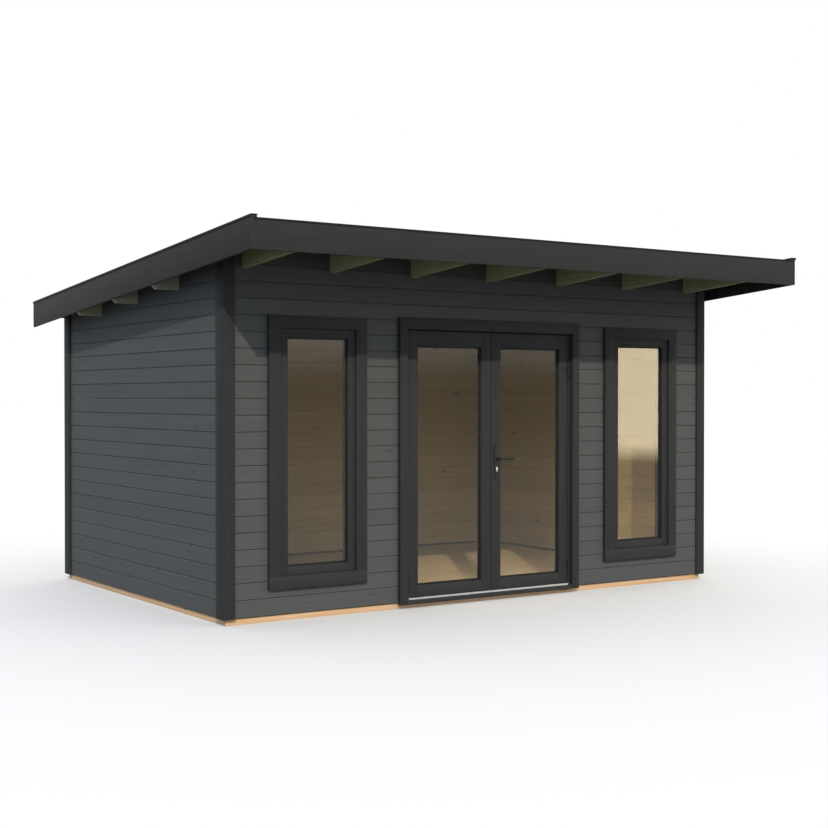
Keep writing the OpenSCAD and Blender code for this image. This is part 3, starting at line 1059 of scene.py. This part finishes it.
@dataclass
class RoofTimber:
    """Rafters, purlins and roof boards."""

    board_gap: float = 1.0
    chamfer: float = 3.5
    snip: float = 30.0
    ease: float = 3.0

    def rafters(self) -> Piece:
        """Model the front rafters.

        Returns:
            All rafters.
        """
        space, top = Span.of(RAFTERS.node), ROOF.under_deck
        row = [ROOF.layer((x, x + RAFTERS.width), (space.low.y, space.high.y), top, top + RAFTERS.depth,
                          TREATED[Run.Y], self.ease) for x in RAFTERS.starts()]
        return Piece.of("rafter_beams", row, "treated_timber", RAFTERS.node)

    def purlins(self) -> Piece:
        """Model the purlins with their lower end corners sawn off.

        Returns:
            All purlins.
        """
        space, row = Span.of(PURLINS.node), []
        for y in PURLINS.starts():
            foot = ROOF.height(y, ROOF.under_deck) - PURLINS.depth
            beam = plank((space.low.x, y, foot), (space.high.x, y + PURLINS.width, ROOF.top), TREATED[Run.X],
                         self.ease)
            ROOF.saw(beam, ROOF.under_deck)
            for side in Side:
                trim(beam, (side.value * (space.high.x - self.snip), y, foot), (side.value, 0, -1))
            row.append(beam)
        return Piece.of("purlin_beams", row, "treated_timber", PURLINS.node)

    def deck(self) -> Piece:
        """Model the roof boards, with the V joints below.

        Returns:
            All roof boards.
        """
        space = Span.of("roof_deck")
        cover = (space.high.x - space.low.x) / ROOF_BOARDS
        low = ROOF.height(0, ROOF.under_deck - ROOF.seat)
        deck = chamfered((*space.low.xy, low),
                         (space.low.x + cover - self.board_gap, space.high.y, low + ROOF.deck), 1,
                         self.chamfer, lambda way: way.z < 0)
        repeat(deck, ROOF_BOARDS, (cover, 0, 0))
        paint(ROOF.lean(deck), [BARE_ROOF])
        return Piece.of("roof_boards", [deck], "bare_timber", "roof_deck")

    def build(self) -> list[Piece]:
        """Model rafters, purlins and roof boards."""
        return [self.rafters(), self.purlins(), self.deck()]


@dataclass
class RoofEdge:
    """Barge boards, fascias, battens, felt sheets and the felt cappings along the edges."""

    batten: float = 24.0
    ease: float = 2.5
    sheets: int = 4
    sheet: float = 3.0
    sheet_ease: float = 1.0
    lap: float = 90.0
    lap_end: float = 10.0
    rise_share: float = 1.1
    cap: float = 3.5
    cap_wide: float = 52.0
    cap_lip: float = 14.0
    cap_nose: float = 7.0
    front_wide: float = 30.0
    front_lip: float = 9.0

    def pair(self, name: str, node: str, width: float, lower: float) -> Piece:
        """Model the boards along both sides of the roof, from its top line down.

        Args:
            name: Name of the piece.
            node: Node that it stands for.
            width: Thickness of a board.
            lower: Depth of its lower edge.

        Returns:
            Both boards.
        """
        space = Span.of(node)
        boards = [ROOF.layer((x, x + width), (ROOF.tip, ROOF.tail), 0, lower, CHARCOAL[Run.Y], self.ease)
                  for x in (space.low.x, space.high.x - width)]
        return Piece.of(name, boards, "trim_boards", node)

    def fascia(self, end: End) -> Piece:
        """Model the board across one end of the roof.

        Args:
            end: Front or back.

        Returns:
            The board.
        """
        node = end.word + "_fascia"
        board = plank(Span.of(node).low, (*Span.of(node).high.xy, ROOF.top), CHARCOAL[Run.X], self.ease)
        ROOF.saw(board, ROOF.upstand)
        return Piece.of("fascia_" + end.word, [board], "trim_boards", node)

    def felt(self) -> Piece:
        """Model the felt sheets, each lapped over the next one at its end.

        Returns:
            All sheets.
        """
        space = Span.of("roof_felt")
        width = (space.high.y - space.low.y) / self.sheets
        bed = ROOF.height(0, ROOF.upstand + ROOF.felt)
        sheets = []
        for i in range(self.sheets):
            start = space.low.y + i * width if i else ROOF.tip
            end = min(space.low.y + (i + 1) * width + self.lap, space.high.y)
            sheet = plank((space.low.x, start, bed), (space.high.x, end, bed + self.sheet), FELT,
                          self.sheet_ease)
            if i < self.sheets - 1:
                with editing(sheet):
                    pick(sheet, "VERT", lambda v: v.co.y > (end - self.lap_end) * MM)
                    bpy.ops.transform.translate(value=(0, 0, self.sheet * self.rise_share * MM))
            sheets.append(ROOF.lean(sheet))
        return Piece.of("felt_sheets", sheets, "roof_felt", "roof_felt")

    def cappings(self) -> Piece:
        """Model the cappings, a flat part and a lip along both sides and the front.

        Returns:
            All cappings.
        """
        caps, ends = [], (ROOF.tip - self.cap_nose, ROOF.tail)
        for side in Side:
            outer = side.value * (Span.of("barge_boards").high.x + self.cap)
            for width, lower in ((self.cap_wide, 0), (self.cap, self.cap_lip)):
                caps.append(ROOF.layer((outer, outer - side.value * width), ends, -self.cap, lower, CAPPING,
                                       self.sheet_ease))
        edge, upper = Span.of("front_fascia"), ROOF.upstand - self.cap
        for width, lip in ((self.front_wide, 0), (0, self.front_lip)):
            caps.append(ROOF.layer((edge.low.x, edge.high.x), (ROOF.tip - self.cap, ROOF.tip + width), upper,
                                   ROOF.upstand + lip, CAPPING, self.sheet_ease))
        return Piece.of("felt_cappings", caps, "roof_felt")

    def build(self) -> list[Piece]:
        """Model the edges and the covering of the roof.

        Returns:
            Boards round the roof, then felt and cappings.
        """
        front = Span.of("front_fascia")
        thick, depth = front.high.y - front.low.y, ROOF.height(ROOF.tip) - front.low.z
        return [self.pair("barge_pair", "barge_boards", thick, depth),
                self.pair("batten_pair", "edge_battens", self.batten, ROOF.upstand - ROOF.seat),
                *(self.fascia(end) for end in End), self.felt(), self.cappings()]


@dataclass
class Joinery:
    """Boards round a pane, with rubber strips on both faces and a bead inside that hold it."""

    strip: float = 12.0
    strip_t: float = 2.5
    strip_off: float = 0.05
    bead_t: float = 12.0
    ease: float = 0.8
    joint: float = 0.15

    def boards(self, space: Span, sides: float, below: float, above: float, through: bool) -> list[Shape]:
        """Model the four boards of a frame.

        Args:
            space: Outline and depth of the frame.
            sides: Width of the uprights.
            below: Height of the lower rail.
            above: Height of the upper rail.
            through: True if the rails run over the uprights, False if the uprights run through.

        Returns:
            Two uprights and two rails.
        """
        low, high, gap = space.low, space.high, self.joint
        inset, foot, head = (0, below + gap, above + gap) if through else (sides + gap, 0, 0)
        posts = [plank((x, low.y, low.z + foot), (x + sides, high.y, high.z - head), CHARCOAL[Run.Z],
                       self.ease) for x in (low.x, high.x - sides)]
        rails = [plank((low.x + inset, low.y, z), (high.x - inset, high.y, z + tall), CHARCOAL[Run.X],
                       self.ease) for z, tall in ((low.z, below), (high.z - above, above))]
        return posts + rails

    def round_pane(self, space: Span, pane: Span) -> list[Shape]:
        """Model the boards of a frame as wide as its pane leaves them."""
        return self.boards(space, pane.low.x - space.low.x, pane.low.z - space.low.z,
                           space.high.z - pane.high.z, False)

    def bars(self, pane: Span, y: Triple, tall: Finish, flat: Finish) -> list[Shape]:
        """Model four thin bars on the edge of a pane.

        Args:
            pane: Space of the pane.
            y: Front and back of the bars.
            tall: Finish of the upright bars.
            flat: Finish of the level bars.

        Returns:
            The bars.
        """
        low, high, wide = pane.low, pane.high, self.strip
        bars = [plank((x, y[0], low.z), (x + wide, y[1], high.z), tall, self.ease)
                for x in (low.x, high.x - wide)]
        bars += [plank((low.x + wide, y[0], z), (high.x - wide, y[1], z + wide), flat, self.ease)
                 for z in (low.z, high.z - wide)]
        return bars

    def glazing(self, pane: Span) -> list[Shape]:
        """Model what holds a pane.

        Args:
            pane: Space of the pane.

        Returns:
            Rubber strips on both faces and the bead inside.
        """
        front, back, inside = pane.low.y, pane.high.y, pane.high.y + self.strip_t
        return (self.bars(pane, (front - self.strip_t, front - self.strip_off), RUBBER, RUBBER)
                + self.bars(pane, (back + self.strip_off, inside), RUBBER, RUBBER)
                + self.bars(pane, (inside, inside + self.bead_t), CHARCOAL[Run.Z], CHARCOAL[Run.X]))


JOINERY = Joinery()


@dataclass
class FixedWindow:
    """Tall window that doesn't open: casing, frame behind it, sash inside it, and pane."""

    side: Side
    casing: float = 88.0
    clear: float = 1.0
    recess: float = 8.0

    def build(self) -> list[Piece]:
        """Model the window and dress its pane.

        Returns:
            Casing and frame.
        """
        word = self.side.word
        cover, rim, pane = (Span.of(f"{word}_window_{part}") for part in ("casing", "frame", "glass"))
        casing = JOINERY.boards(cover, self.casing, self.casing, self.casing, True)
        meet, inset = cover.high.y + self.recess, self.casing + self.clear
        front = Span(Vector((cover.low.x + inset, rim.low.y, cover.low.z + inset)),
                     Vector((cover.high.x - inset, meet, cover.high.z - inset)))
        rear = Span(Vector((rim.low.x, meet, rim.low.z)), rim.high)
        sash = JOINERY.round_pane(front, pane) + JOINERY.round_pane(rear, pane) + JOINERY.glazing(pane)
        dress_node(word + "_window_glass", GLASS)
        return [Piece.of("window_casing_" + word, casing, "trim_boards", word + "_window_casing"),
                Piece.of("window_sash_" + word, sash, "trim_boards", word + "_window_frame")]


@dataclass
class DoorFrame:
    """Casing, jambs with stops and seals, head, sill and threshold of the double door."""

    post: float = 66.0
    jamb: float = 42.0
    stop_front: float = 50.0
    stop_lap: float = 12.0
    bed: float = 43.0
    ease: float = 2.0
    seal: float = 3.0
    seal_wide: float = 6.0
    seal_up: float = 4.0
    seal_ease: float = 1.2
    ribs: int = 7
    rib_chamfer: float = 1.4

    def board(self, low: Triple, high: Triple, run: Run) -> Shape:
        """Model a charcoal board between two corners."""
        return plank(low, high, CHARCOAL[run], self.ease)

    def casing(self) -> list[Piece]:
        """Model the casing boards.

        Returns:
            The posts and the lintel.
        """
        sides, head = Span.of("door_casing_sides"), Span.of("door_casing_head")
        posts = [self.board((x, *sides.low.yz), (x + self.post, *sides.high.yz), Run.Z)
                 for x in (sides.low.x, sides.high.x - self.post)]
        lintel = self.board(head.low, head.high, Run.X)
        return [Piece.of("door_casing_posts", posts, "trim_boards", "door_casing_sides"),
                Piece.of("door_casing_lintel", [lintel], "trim_boards", "door_casing_head")]

    def surround(self) -> list[Piece]:
        """Model jambs, head and sill, with a rubber seal on the stops.

        Returns:
            Jambs, head and sill.
        """
        jambs, head, sill = Span.of("door_jambs"), Span.of("door_head"), Span.of("door_sill")
        face, foot, top = jambs.low.y, jambs.low.z, jambs.high.z
        stop, y_stop = Span.of("left_leaf").low.x + self.stop_lap, face + self.stop_front
        y_seal, half, z_seal = y_stop - self.seal, self.seal_wide / 2, head.low.z + self.seal_up
        posts: list[Shape] = []
        for side in Side:
            outer, inner, lip = (side.value * x for x in (jambs.high.x, jambs.high.x - self.jamb, -stop))
            for x, y in ((sorted((outer, inner)), face), (sorted((inner, lip)), y_stop)):
                posts.append(self.board((x[0], y, foot), (x[1], jambs.high.y, top), Run.Z))
            x = (inner + lip) / 2
            posts.append(plank((x - half, y_seal, foot), (x + half, y_stop, head.low.z), RUBBER,
                               self.seal_ease))
        beam = [self.board((*head.low.xy, top), head.high, Run.X),
                self.board((stop, y_stop, head.low.z), (-stop, head.high.y, top), Run.X),
                plank((stop, y_seal, z_seal), (-stop, y_stop, z_seal + self.seal_wide), RUBBER,
                      self.seal_ease)]
        inner = Span.of("door_casing_sides").high.x - self.post
        step = [self.board((-inner, *sill.low.yz), (inner, face, sill.high.z), Run.X),
                self.board((sill.low.x, face, self.bed), sill.high, Run.X)]
        return [Piece.of("door_posts", posts, "trim_boards", "door_jambs"),
                Piece.of("door_beam", beam, "trim_boards", "door_head"),
                Piece.of("door_step", step, "trim_boards", "door_sill")]

    def threshold(self) -> Piece:
        """Model the ribbed metal strip on the sill.

        Returns:
            The strip.
        """
        space = Span.of("threshold_strip")
        rib = (space.high.y - space.low.y) / self.ribs
        strip = chamfered(space.low, (space.high.x, space.low.y + rib, space.high.z), 0, self.rib_chamfer,
                          lambda way: way.z > 0)
        repeat(strip, self.ribs, (0, rib, 0))
        paint(strip, [ALUMINIUM])
        return Piece.of("threshold_ribs", [strip], "threshold", "threshold_strip")

    def build(self) -> list[Piece]:
        """Model casing, jambs, head, sill and threshold."""
        return self.casing() + self.surround() + [self.threshold()]


@dataclass
class DoorLeaf:
    """Glazed leaf of the double door."""

    side: Side

    def build(self) -> Piece:
        """Model the leaf and dress its pane.

        Returns:
            The leaf.
        """
        node = self.side.word + "_leaf"
        pane = Span.of(node + "_glass")
        parts = JOINERY.round_pane(Span.of(node), pane) + JOINERY.glazing(pane)
        dress_node(node + "_glass", GLASS)
        return Piece(join("door_" + node, parts), "trim_boards", (node,), node)


@dataclass
class LiftOffHinges:
    """Two lift-off hinges on each leaf: barrels, pin and flaps with screws."""

    pin_x: float = 760.0
    pin_out: float = 9.0
    splits: tuple[float, float] = (213.0, 1740.0)
    barrel: float = 45.0
    radius: float = 8.0
    rim: float = 1.0
    cap_share: float = 0.7
    cap_out: float = 3.0
    cap_in: float = 1.0
    cap_rim: float = 1.2
    pin: float = 4.5
    pin_foot: float = 5.0
    pin_rim: float = 0.6
    pin_sides: int = 24
    bore_end: float = 2.0
    bore_rim: float = 0.2
    flap: float = 4.0
    flap_ease: float = 0.8
    reach: float = 32.0
    casing: float = 780.0
    edge: float = 3.0
    screw: float = 4.0
    screw_in: float = 10.0
    screw_up: float = 11.0
    play: float = 0.1

    @property
    def face(self) -> float:
        """Front of the leaves."""
        return Span.of("left_leaf").low.y

    def upright(self, low: float, high: float, radius: float, rim: float, finish: Finish = COATED,
                sides: int = ROUND) -> Shape:
        """Model a round bar on the axis of the left leaf."""
        x, y = -self.pin_x, self.face - self.pin_out
        return rod((x, y, low), (x, y, high), radius, finish, rim, sides)

    def lower(self, split: float) -> list[Shape]:
        """Model the half on the left jamb.

        Args:
            split: Height at which the halves meet.

        Returns:
            Barrel with its end cap, pin and flap.
        """
        foot, tip = split - self.barrel, split + self.barrel - self.flap
        return [self.upright(foot, split, self.radius, self.rim),
                self.upright(foot - self.cap_out, foot + self.cap_in, self.radius * self.cap_share,
                             self.cap_rim),
                self.upright(split - self.pin_foot, tip, self.pin, self.pin_rim, NICKEL, self.pin_sides),
                plank((-self.casing, self.face - self.flap, foot),
                      (-self.pin_x - self.edge, self.face, split), COATED, self.flap_ease)]

    def upper(self, split: float) -> list[Shape]:
        """Model the half on the left leaf.

        Args:
            split: Height at which the halves meet.

        Returns:
            Bored barrel with its end cap, and flap with two screws.
        """
        low, inner, front = split + self.play, -self.pin_x + self.edge, self.face - self.flap
        top = low + self.barrel
        barrel = self.upright(low, top, self.radius, self.rim)
        cut(barrel, [self.upright(low - self.bore_end, top - self.bore_end, self.pin + self.play,
                                  self.bore_rim, COATED, self.pin_sides)])
        cap = self.upright(top - self.cap_in, top + self.cap_out, self.radius * self.cap_share, self.cap_rim)
        flap = plank((inner, front, low), (inner + self.reach, self.face, top), COATED, self.flap_ease)
        screws = [screw((inner + self.reach - self.screw_in, front, z), self.screw, COATED)
                  for z in (low + self.screw_up, top - self.screw_up)]
        return [barrel, cap, flap, *screws]

    def build(self) -> list[Piece]:
        """Model all hinges.

        Returns:
            The halves on the jambs, then those on each leaf.
        """
        fixed: list[Shape] = []
        pieces = []
        for side in Side:
            moving: list[Shape] = []
            for split in self.splits:
                for parts, half in ((fixed, self.lower(split)), (moving, self.upper(split))):
                    parts += half if side is Side.LEFT else [flip(part, 0, 0.0) for part in half]
            node = side.word + "_leaf"
            tops = join("hinge_tops_" + side.word, moving)
            pieces.append(Piece(tops, "dark_hardware", (node + "_hinges",), node))
        return [Piece.of("hinge_pins", fixed, "dark_hardware", "frame_hinges"), *pieces]


@dataclass
class HandleSet:
    """Lever handles on long plates with a lock cylinder, on both faces of the right leaf."""

    x: float = 48.0
    lever_z: float = 1072.0
    plate: tuple[float, float, float] = (44.0, 272.0, 8.0)
    plate_drop: float = 15.0
    round_share: float = 0.4985
    plate_rim: float = 2.2
    collar: float = 14.5
    collar_out: float = 3.5
    collar_in: float = 0.5
    collar_rim: float = 1.4
    bore_past: float = 5.0
    bore_rim: float = 0.2
    screw: float = 4.2
    screw_in: float = 17.0
    cylinder_drop: float = 70.0
    cylinder: float = 8.5
    stem: tuple[float, float] = (10.0, 25.0)
    sunk: float = 2.0
    proud: float = 4.0
    lock_rim: float = 0.7
    rotor: float = 6.2
    rotor_out: float = 0.6
    rotor_rim: float = 0.4
    key: float = 1.8
    key_body: tuple[float, float] = (4.5, 2.5)
    key_rotor: tuple[float, float] = (4.0, 2.0)
    neck: float = 9.0
    grip: float = 8.0
    grip_end: float = 4.0
    out: float = 52.0
    length: float = 128.0
    elbow: float = 17.0
    play: float = 0.1
    near: float = 0.1
    weld: float = 0.01

    @property
    def leaf(self) -> Span:
        """Space of the leaf that carries the set."""
        return Span.of("right_leaf")

    def turned(self, z: float, front: float, back: float, radius: float, finish: Finish, rim: float) -> Shape:
        """Model a round bar that runs from front to back in line with the handle."""
        return rod((self.x, front, z), (self.x, back, z), radius, finish, rim)

    def bore(self, shape: Shape, front: float, back: float) -> None:
        """Bore a part for the neck of the lever."""
        radius = self.neck + self.play
        cut(shape, [self.turned(self.lever_z, front, back, radius, COATED, self.bore_rim)])

    def plates(self) -> list[Shape]:
        """Model the outer plate with round ends and a soft rim, bored for the lever.

        Returns:
            Plate, collar and two screws.
        """
        (width, height, thick), face = self.plate, self.leaf.low.y
        middle, front = self.lever_z - self.plate_drop, face - thick
        plate = block((self.x - width / 2, front, middle - height / 2),
                      (self.x + width / 2, face, middle + height / 2))
        with editing(plate):
            pick(plate, "EDGE", lambda e: abs((e.verts[0].co - e.verts[1].co).y) > thick / 2 * MM)
            bevel(width * self.round_share, 14)
            pick(plate, "EDGE", lambda e: all(v.co.y < front * MM + TINY for v in e.verts))
            bevel(self.plate_rim, 3)
        self.bore(plate, front - self.bore_past, face + self.bore_past)
        paint(plate, [COATED])
        rim = front - self.collar_out
        collar = self.turned(self.lever_z, rim, front + self.collar_in, self.collar, COATED, self.collar_rim)
        self.bore(collar, rim - self.bore_past, face)
        screws = [screw((self.x, front, middle + way * (height / 2 - self.screw_in)), self.screw, COATED)
                  for way in (-1, 1)]
        return [plate, collar, *screws]

    def slit(self, shape: Shape, front: float, z: float, size: tuple[float, float]) -> None:
        """Cut the slot for the key into a part of the lock.

        Args:
            shape: Part that is cut.
            front: Front of the cylinder.
            z: Height of its middle.
            size: Half the height of the slot and its depth.
        """
        half, (tall, deep) = self.key / 2, size
        low, high = (self.x - half, front - self.sunk, z - tall), (self.x + half, front + deep, z + tall)
        cut(shape, [block(low, high)])

    def lock(self) -> list[Shape]:
        """Model the outer lock cylinder with its key slot.

        Returns:
            Cylinder and rotor.
        """
        z, bed, (wide, long) = self.lever_z - self.cylinder_drop, self.leaf.low.y - self.plate[2], self.stem
        front, back = bed - self.proud, bed + self.sunk
        body = self.turned(z, front, back, self.cylinder, NICKEL, self.lock_rim)
        stem = plank((self.x - wide / 2, front, z - long), (self.x + wide / 2, back, z), NICKEL,
                     self.lock_rim)
        cut(body, [stem], "UNION")
        self.slit(body, front, z, self.key_body)
        rotor = self.turned(z, front - self.rotor_out, bed, self.rotor, NICKEL, self.rotor_rim)
        self.slit(rotor, front, z, self.key_rotor)
        return [body, rotor]

    def lever(self) -> list[Shape]:
        """Model the outer lever: a neck out of the plate, a swept elbow and a straight grip with a soft end.

        Returns:
            The lever.
        """
        root, bend = self.leaf.low.y - self.play, self.leaf.low.y - self.out + self.elbow
        tip, slim = (self.x + self.length - self.near) * MM, self.grip / self.neck
        deselect()
        bpy.ops.mesh.primitive_circle_add(vertices=ROUND, radius=self.neck * MM, fill_type="NGON",
                                          location=(self.x * MM, root * MM, self.lever_z * MM),
                                          rotation=(math.radians(90), 0, 0))
        bar = placed()
        with editing(bar):
            bpy.ops.mesh.select_all(action="SELECT")
            bpy.ops.mesh.extrude_region_move(TRANSFORM_OT_translate={"value": (0, (bend - root) * MM, 0)})
            bpy.ops.mesh.spin(steps=10, angle=math.radians(-90), axis=(0, 0, 1),
                              center=((self.x + self.elbow) * MM, bend * MM, self.lever_z * MM))
            pick(bar, "FACE", lambda f: f.normal.x > FACING and len(f.verts) > CORNERS)
            straight = (self.length - self.elbow) * MM
            bpy.ops.mesh.extrude_region_move(TRANSFORM_OT_translate={"value": (straight, 0, 0)})
            bpy.ops.transform.resize(value=(1, slim, slim))
            pick(bar, "EDGE", lambda e: all(v.co.x > tip for v in e.verts))
            bevel(self.grip_end, 4)
            bpy.ops.mesh.select_all(action="SELECT")
            bpy.ops.mesh.remove_doubles(threshold=self.weld * MM)
            bpy.ops.mesh.normals_make_consistent(inside=False)
        bar.data.materials.append(COATED.material())
        return [bar]

    def build(self) -> list[Piece]:
        """Model the set on both faces of the leaf.

        Returns:
            Plates, cylinders and levers.
        """
        heart = (self.leaf.low.y + self.leaf.high.y) / 2
        sets = (("handle_plate_pair", self.plates, "dark_hardware", "handle_plates", "right_leaf"),
                ("lock_cylinder_pair", self.lock, "bright_hardware", "lock_cylinders", "right_leaf"),
                ("lever_pair", self.lever, "dark_hardware", "door_lever", "lever"))
        pieces = []
        for name, make, slot, node, body in sets:
            outside = make()
            inside = [flip(copy(part), 1, heart) for part in outside]
            pieces.append(Piece(join(name, outside + inside), slot, (node,), body))
        return pieces


@dataclass
class Studio:
    """Pale floor, soft daylight and the camera at the photograph's angle."""

    lens: float = 60.59
    sensor: float = 36.0
    far: float = 1000.0
    place: Triple = (-6.379, -9.663, 1.539)
    turn: Triple = (89.324, 0.0, -33.842)
    sun_way: Triple = (0.575, 1.0, -0.776)
    sun: float = 1.8
    sun_soft: float = 1.0
    sun_tone: str = "#fff1dc"
    sky: str = "#fdfbf7"
    shade: str = "#b3c8e2"
    ground: str = "#3a3732"
    mirror_mid: str = "#92928a"
    mirror_low: str = "#dddcd6"
    mirror_high: str = "#edefec"
    panel_way: float = 41.0
    panel: Triple = (6.0, 5.2, 3.6, 1.0)
    floor_size: float = 400.0
    floor_tone: str = "#f2f5fa"

    def camera(self) -> None:
        """Set up the camera."""
        deselect()
        bpy.ops.object.camera_add(location=self.place, rotation=[math.radians(a) for a in self.turn])
        eye = bpy.context.active_object
        eye.name = "photo_camera"
        eye.data.lens = self.lens
        eye.data.sensor_width = self.sensor
        eye.data.clip_end = self.far
        bpy.context.scene.camera = eye

    def key(self) -> None:
        """Set up a soft warm key from the front left."""
        turn = Vector(self.sun_way).to_track_quat("-Z", "Y").to_euler()
        deselect()
        bpy.ops.object.light_add(type="SUN", rotation=turn)
        key = bpy.context.active_object
        key.name = "soft_key"
        key.data.energy = self.sun
        key.data.angle = math.radians(self.sun_soft)
        key.data.color = linear(self.sun_tone)[:3]

    def daylight(self) -> None:
        """Set up the world: white to the camera, one sky that lights and another that is mirrored."""
        world = bpy.data.worlds.new("soft_sky")
        bpy.context.scene.world = world
        world.use_nodes = True
        tree = world.node_tree
        tree.nodes.clear()
        way = add_node(tree, "TexCoord").outputs["Generated"]
        axes = add_node(tree, "SeparateXYZ", links={0: way}).outputs
        bright, mirrored = self.overhead(tree, axes), self.mirrored(tree, way, axes)
        ray = add_node(tree, "LightPath").outputs
        back = add_node(tree, "Math", {"operation": "LESS_THAN", 1: 0.5}, {0: ray["Diffuse Depth"]})
        back = add_node(tree, "Math", {"operation": "MULTIPLY"}, {0: back, 1: ray["Is Transmission Ray"]})
        mirror = add_node(tree, "Math", {"operation": "MAXIMUM"}, {0: ray["Is Glossy Ray"], 1: back})
        glossy = add_node(tree, "Mix", {"data_type": "RGBA"}, {0: mirror, A: bright, B: mirrored})
        seen = add_node(tree, "Mix", {"data_type": "RGBA", B: (1.0, 1.0, 1.0, 1.0)},
                        {0: ray["Is Camera Ray"], A: glossy})
        light = add_node(tree, "Background", {"Strength": 1.0}, {"Color": seen})
        add_node(tree, "OutputWorld", links={"Surface": light})

    def overhead(self, tree: Tree, axes: Sequence[Socket]) -> Node:
        """Add what lights the object: a warm white sky that is cooler and dimmer on the left, dark below.

        Args:
            tree: Node tree of the world.
            axes: Three parts of the direction that is looked in.

        Returns:
            The colour of the light.
        """
        right = add_node(tree, "MapRange", {"From Min": -1.0, "From Max": 0.2}, {"Value": axes[0]})
        sky = add_node(tree, "Mix", {"data_type": "RGBA", A: linear(self.shade), B: linear(self.sky)},
                       {0: right})
        rise = add_node(tree, "MapRange", {"From Min": -0.3, "From Max": -0.02}, {"Value": axes[2]})
        return add_node(tree, "Mix", {"data_type": "RGBA", A: linear(self.ground)}, {0: rise, B: sky})

    def mirrored(self, tree: Tree, way: Socket, axes: Sequence[Socket]) -> Node:
        """Add what is mirrored: dim at the horizon, paler below and above, and a warm panel at the right.

        Args:
            tree: Node tree of the world.
            way: Direction that is looked in.
            axes: Its three parts.

        Returns:
            The mirrored colour.
        """
        depth, up, angle = axes[1], axes[2], math.radians(self.panel_way)
        low = add_node(tree, "MapRange", {"From Min": -0.01, "From Max": -0.11}, {"Value": up})
        high = add_node(tree, "MapRange", {"From Min": 0.012, "From Max": 0.045}, {"Value": up})
        base = add_node(tree, "Mix", {"data_type": "RGBA", A: linear(self.mirror_mid),
                                      B: linear(self.mirror_low)}, {0: low})
        base = add_node(tree, "Mix", {"data_type": "RGBA", B: linear(self.mirror_high)}, {0: high, A: base})
        side = add_node(tree, "VectorMath", {"operation": "DOT_PRODUCT",
                                             1: (math.cos(angle), math.sin(angle), 0.0)}, {0: way})
        mask = None
        # Soft edges of the panel, each from where it is gone to where it is full.
        for source, gone, full in ((side, -0.006, 0.012), (side, 0.3, 0.2), (depth, -0.4, -0.5),
                                   (up, -0.048, -0.03), (up, 0.3, 0.15)):
            edge = add_node(tree, "MapRange", {"interpolation_type": "SMOOTHSTEP", "From Min": gone,
                                               "From Max": full}, {"Value": source})
            if mask is not None:
                edge = add_node(tree, "Math", {"operation": "MULTIPLY"}, {0: mask, 1: edge})
            mask = edge
        return add_node(tree, "Mix", {"data_type": "RGBA", B: self.panel}, {0: mask, A: base})

    def floor(self) -> None:
        """Lay the pale floor, which throws no light back up under the roof."""
        deselect()
        bpy.ops.mesh.primitive_plane_add(size=self.floor_size)
        ground = bpy.context.active_object
        ground.name = "studio_floor"
        ground.visible_diffuse = ground.visible_glossy = ground.visible_transmission = False
        matt = bpy.data.materials.new("pale_floor")
        matt.use_nodes = True
        skin = matt.node_tree.nodes["Principled BSDF"].inputs
        skin["Base Color"].default_value = linear(self.floor_tone)
        skin["Roughness"].default_value = 0.9
        skin["Specular IOR Level"].default_value = 0.1
        ground.data.materials.append(matt)

    def build(self) -> None:
        """Set up camera, lights and floor."""
        bpy.context.scene.view_settings.view_transform = "Standard"
        for step in (self.camera, self.key, self.daylight, self.floor):
            step()


def main() -> None:
    """Build the studio and every part of the cabin."""
    logging.basicConfig(level=logging.INFO, format="%(name)s: %(message)s")
    Studio().build()
    pieces = BaseFrame().build() + BoardFloor().build() + Walls().build()
    pieces += [CornerCover(end, side).build() for end in End for side in Side]
    pieces += RoofTimber().build() + RoofEdge().build()
    for side in Side:
        pieces += FixedWindow(side).build()
    pieces += DoorFrame().build()
    pieces += [DoorLeaf(side).build() for side in Side]
    pieces += LiftOffHinges().build() + HandleSet().build()
    for piece in pieces:
        piece.settle()


if __name__ == "__main__":
    main()
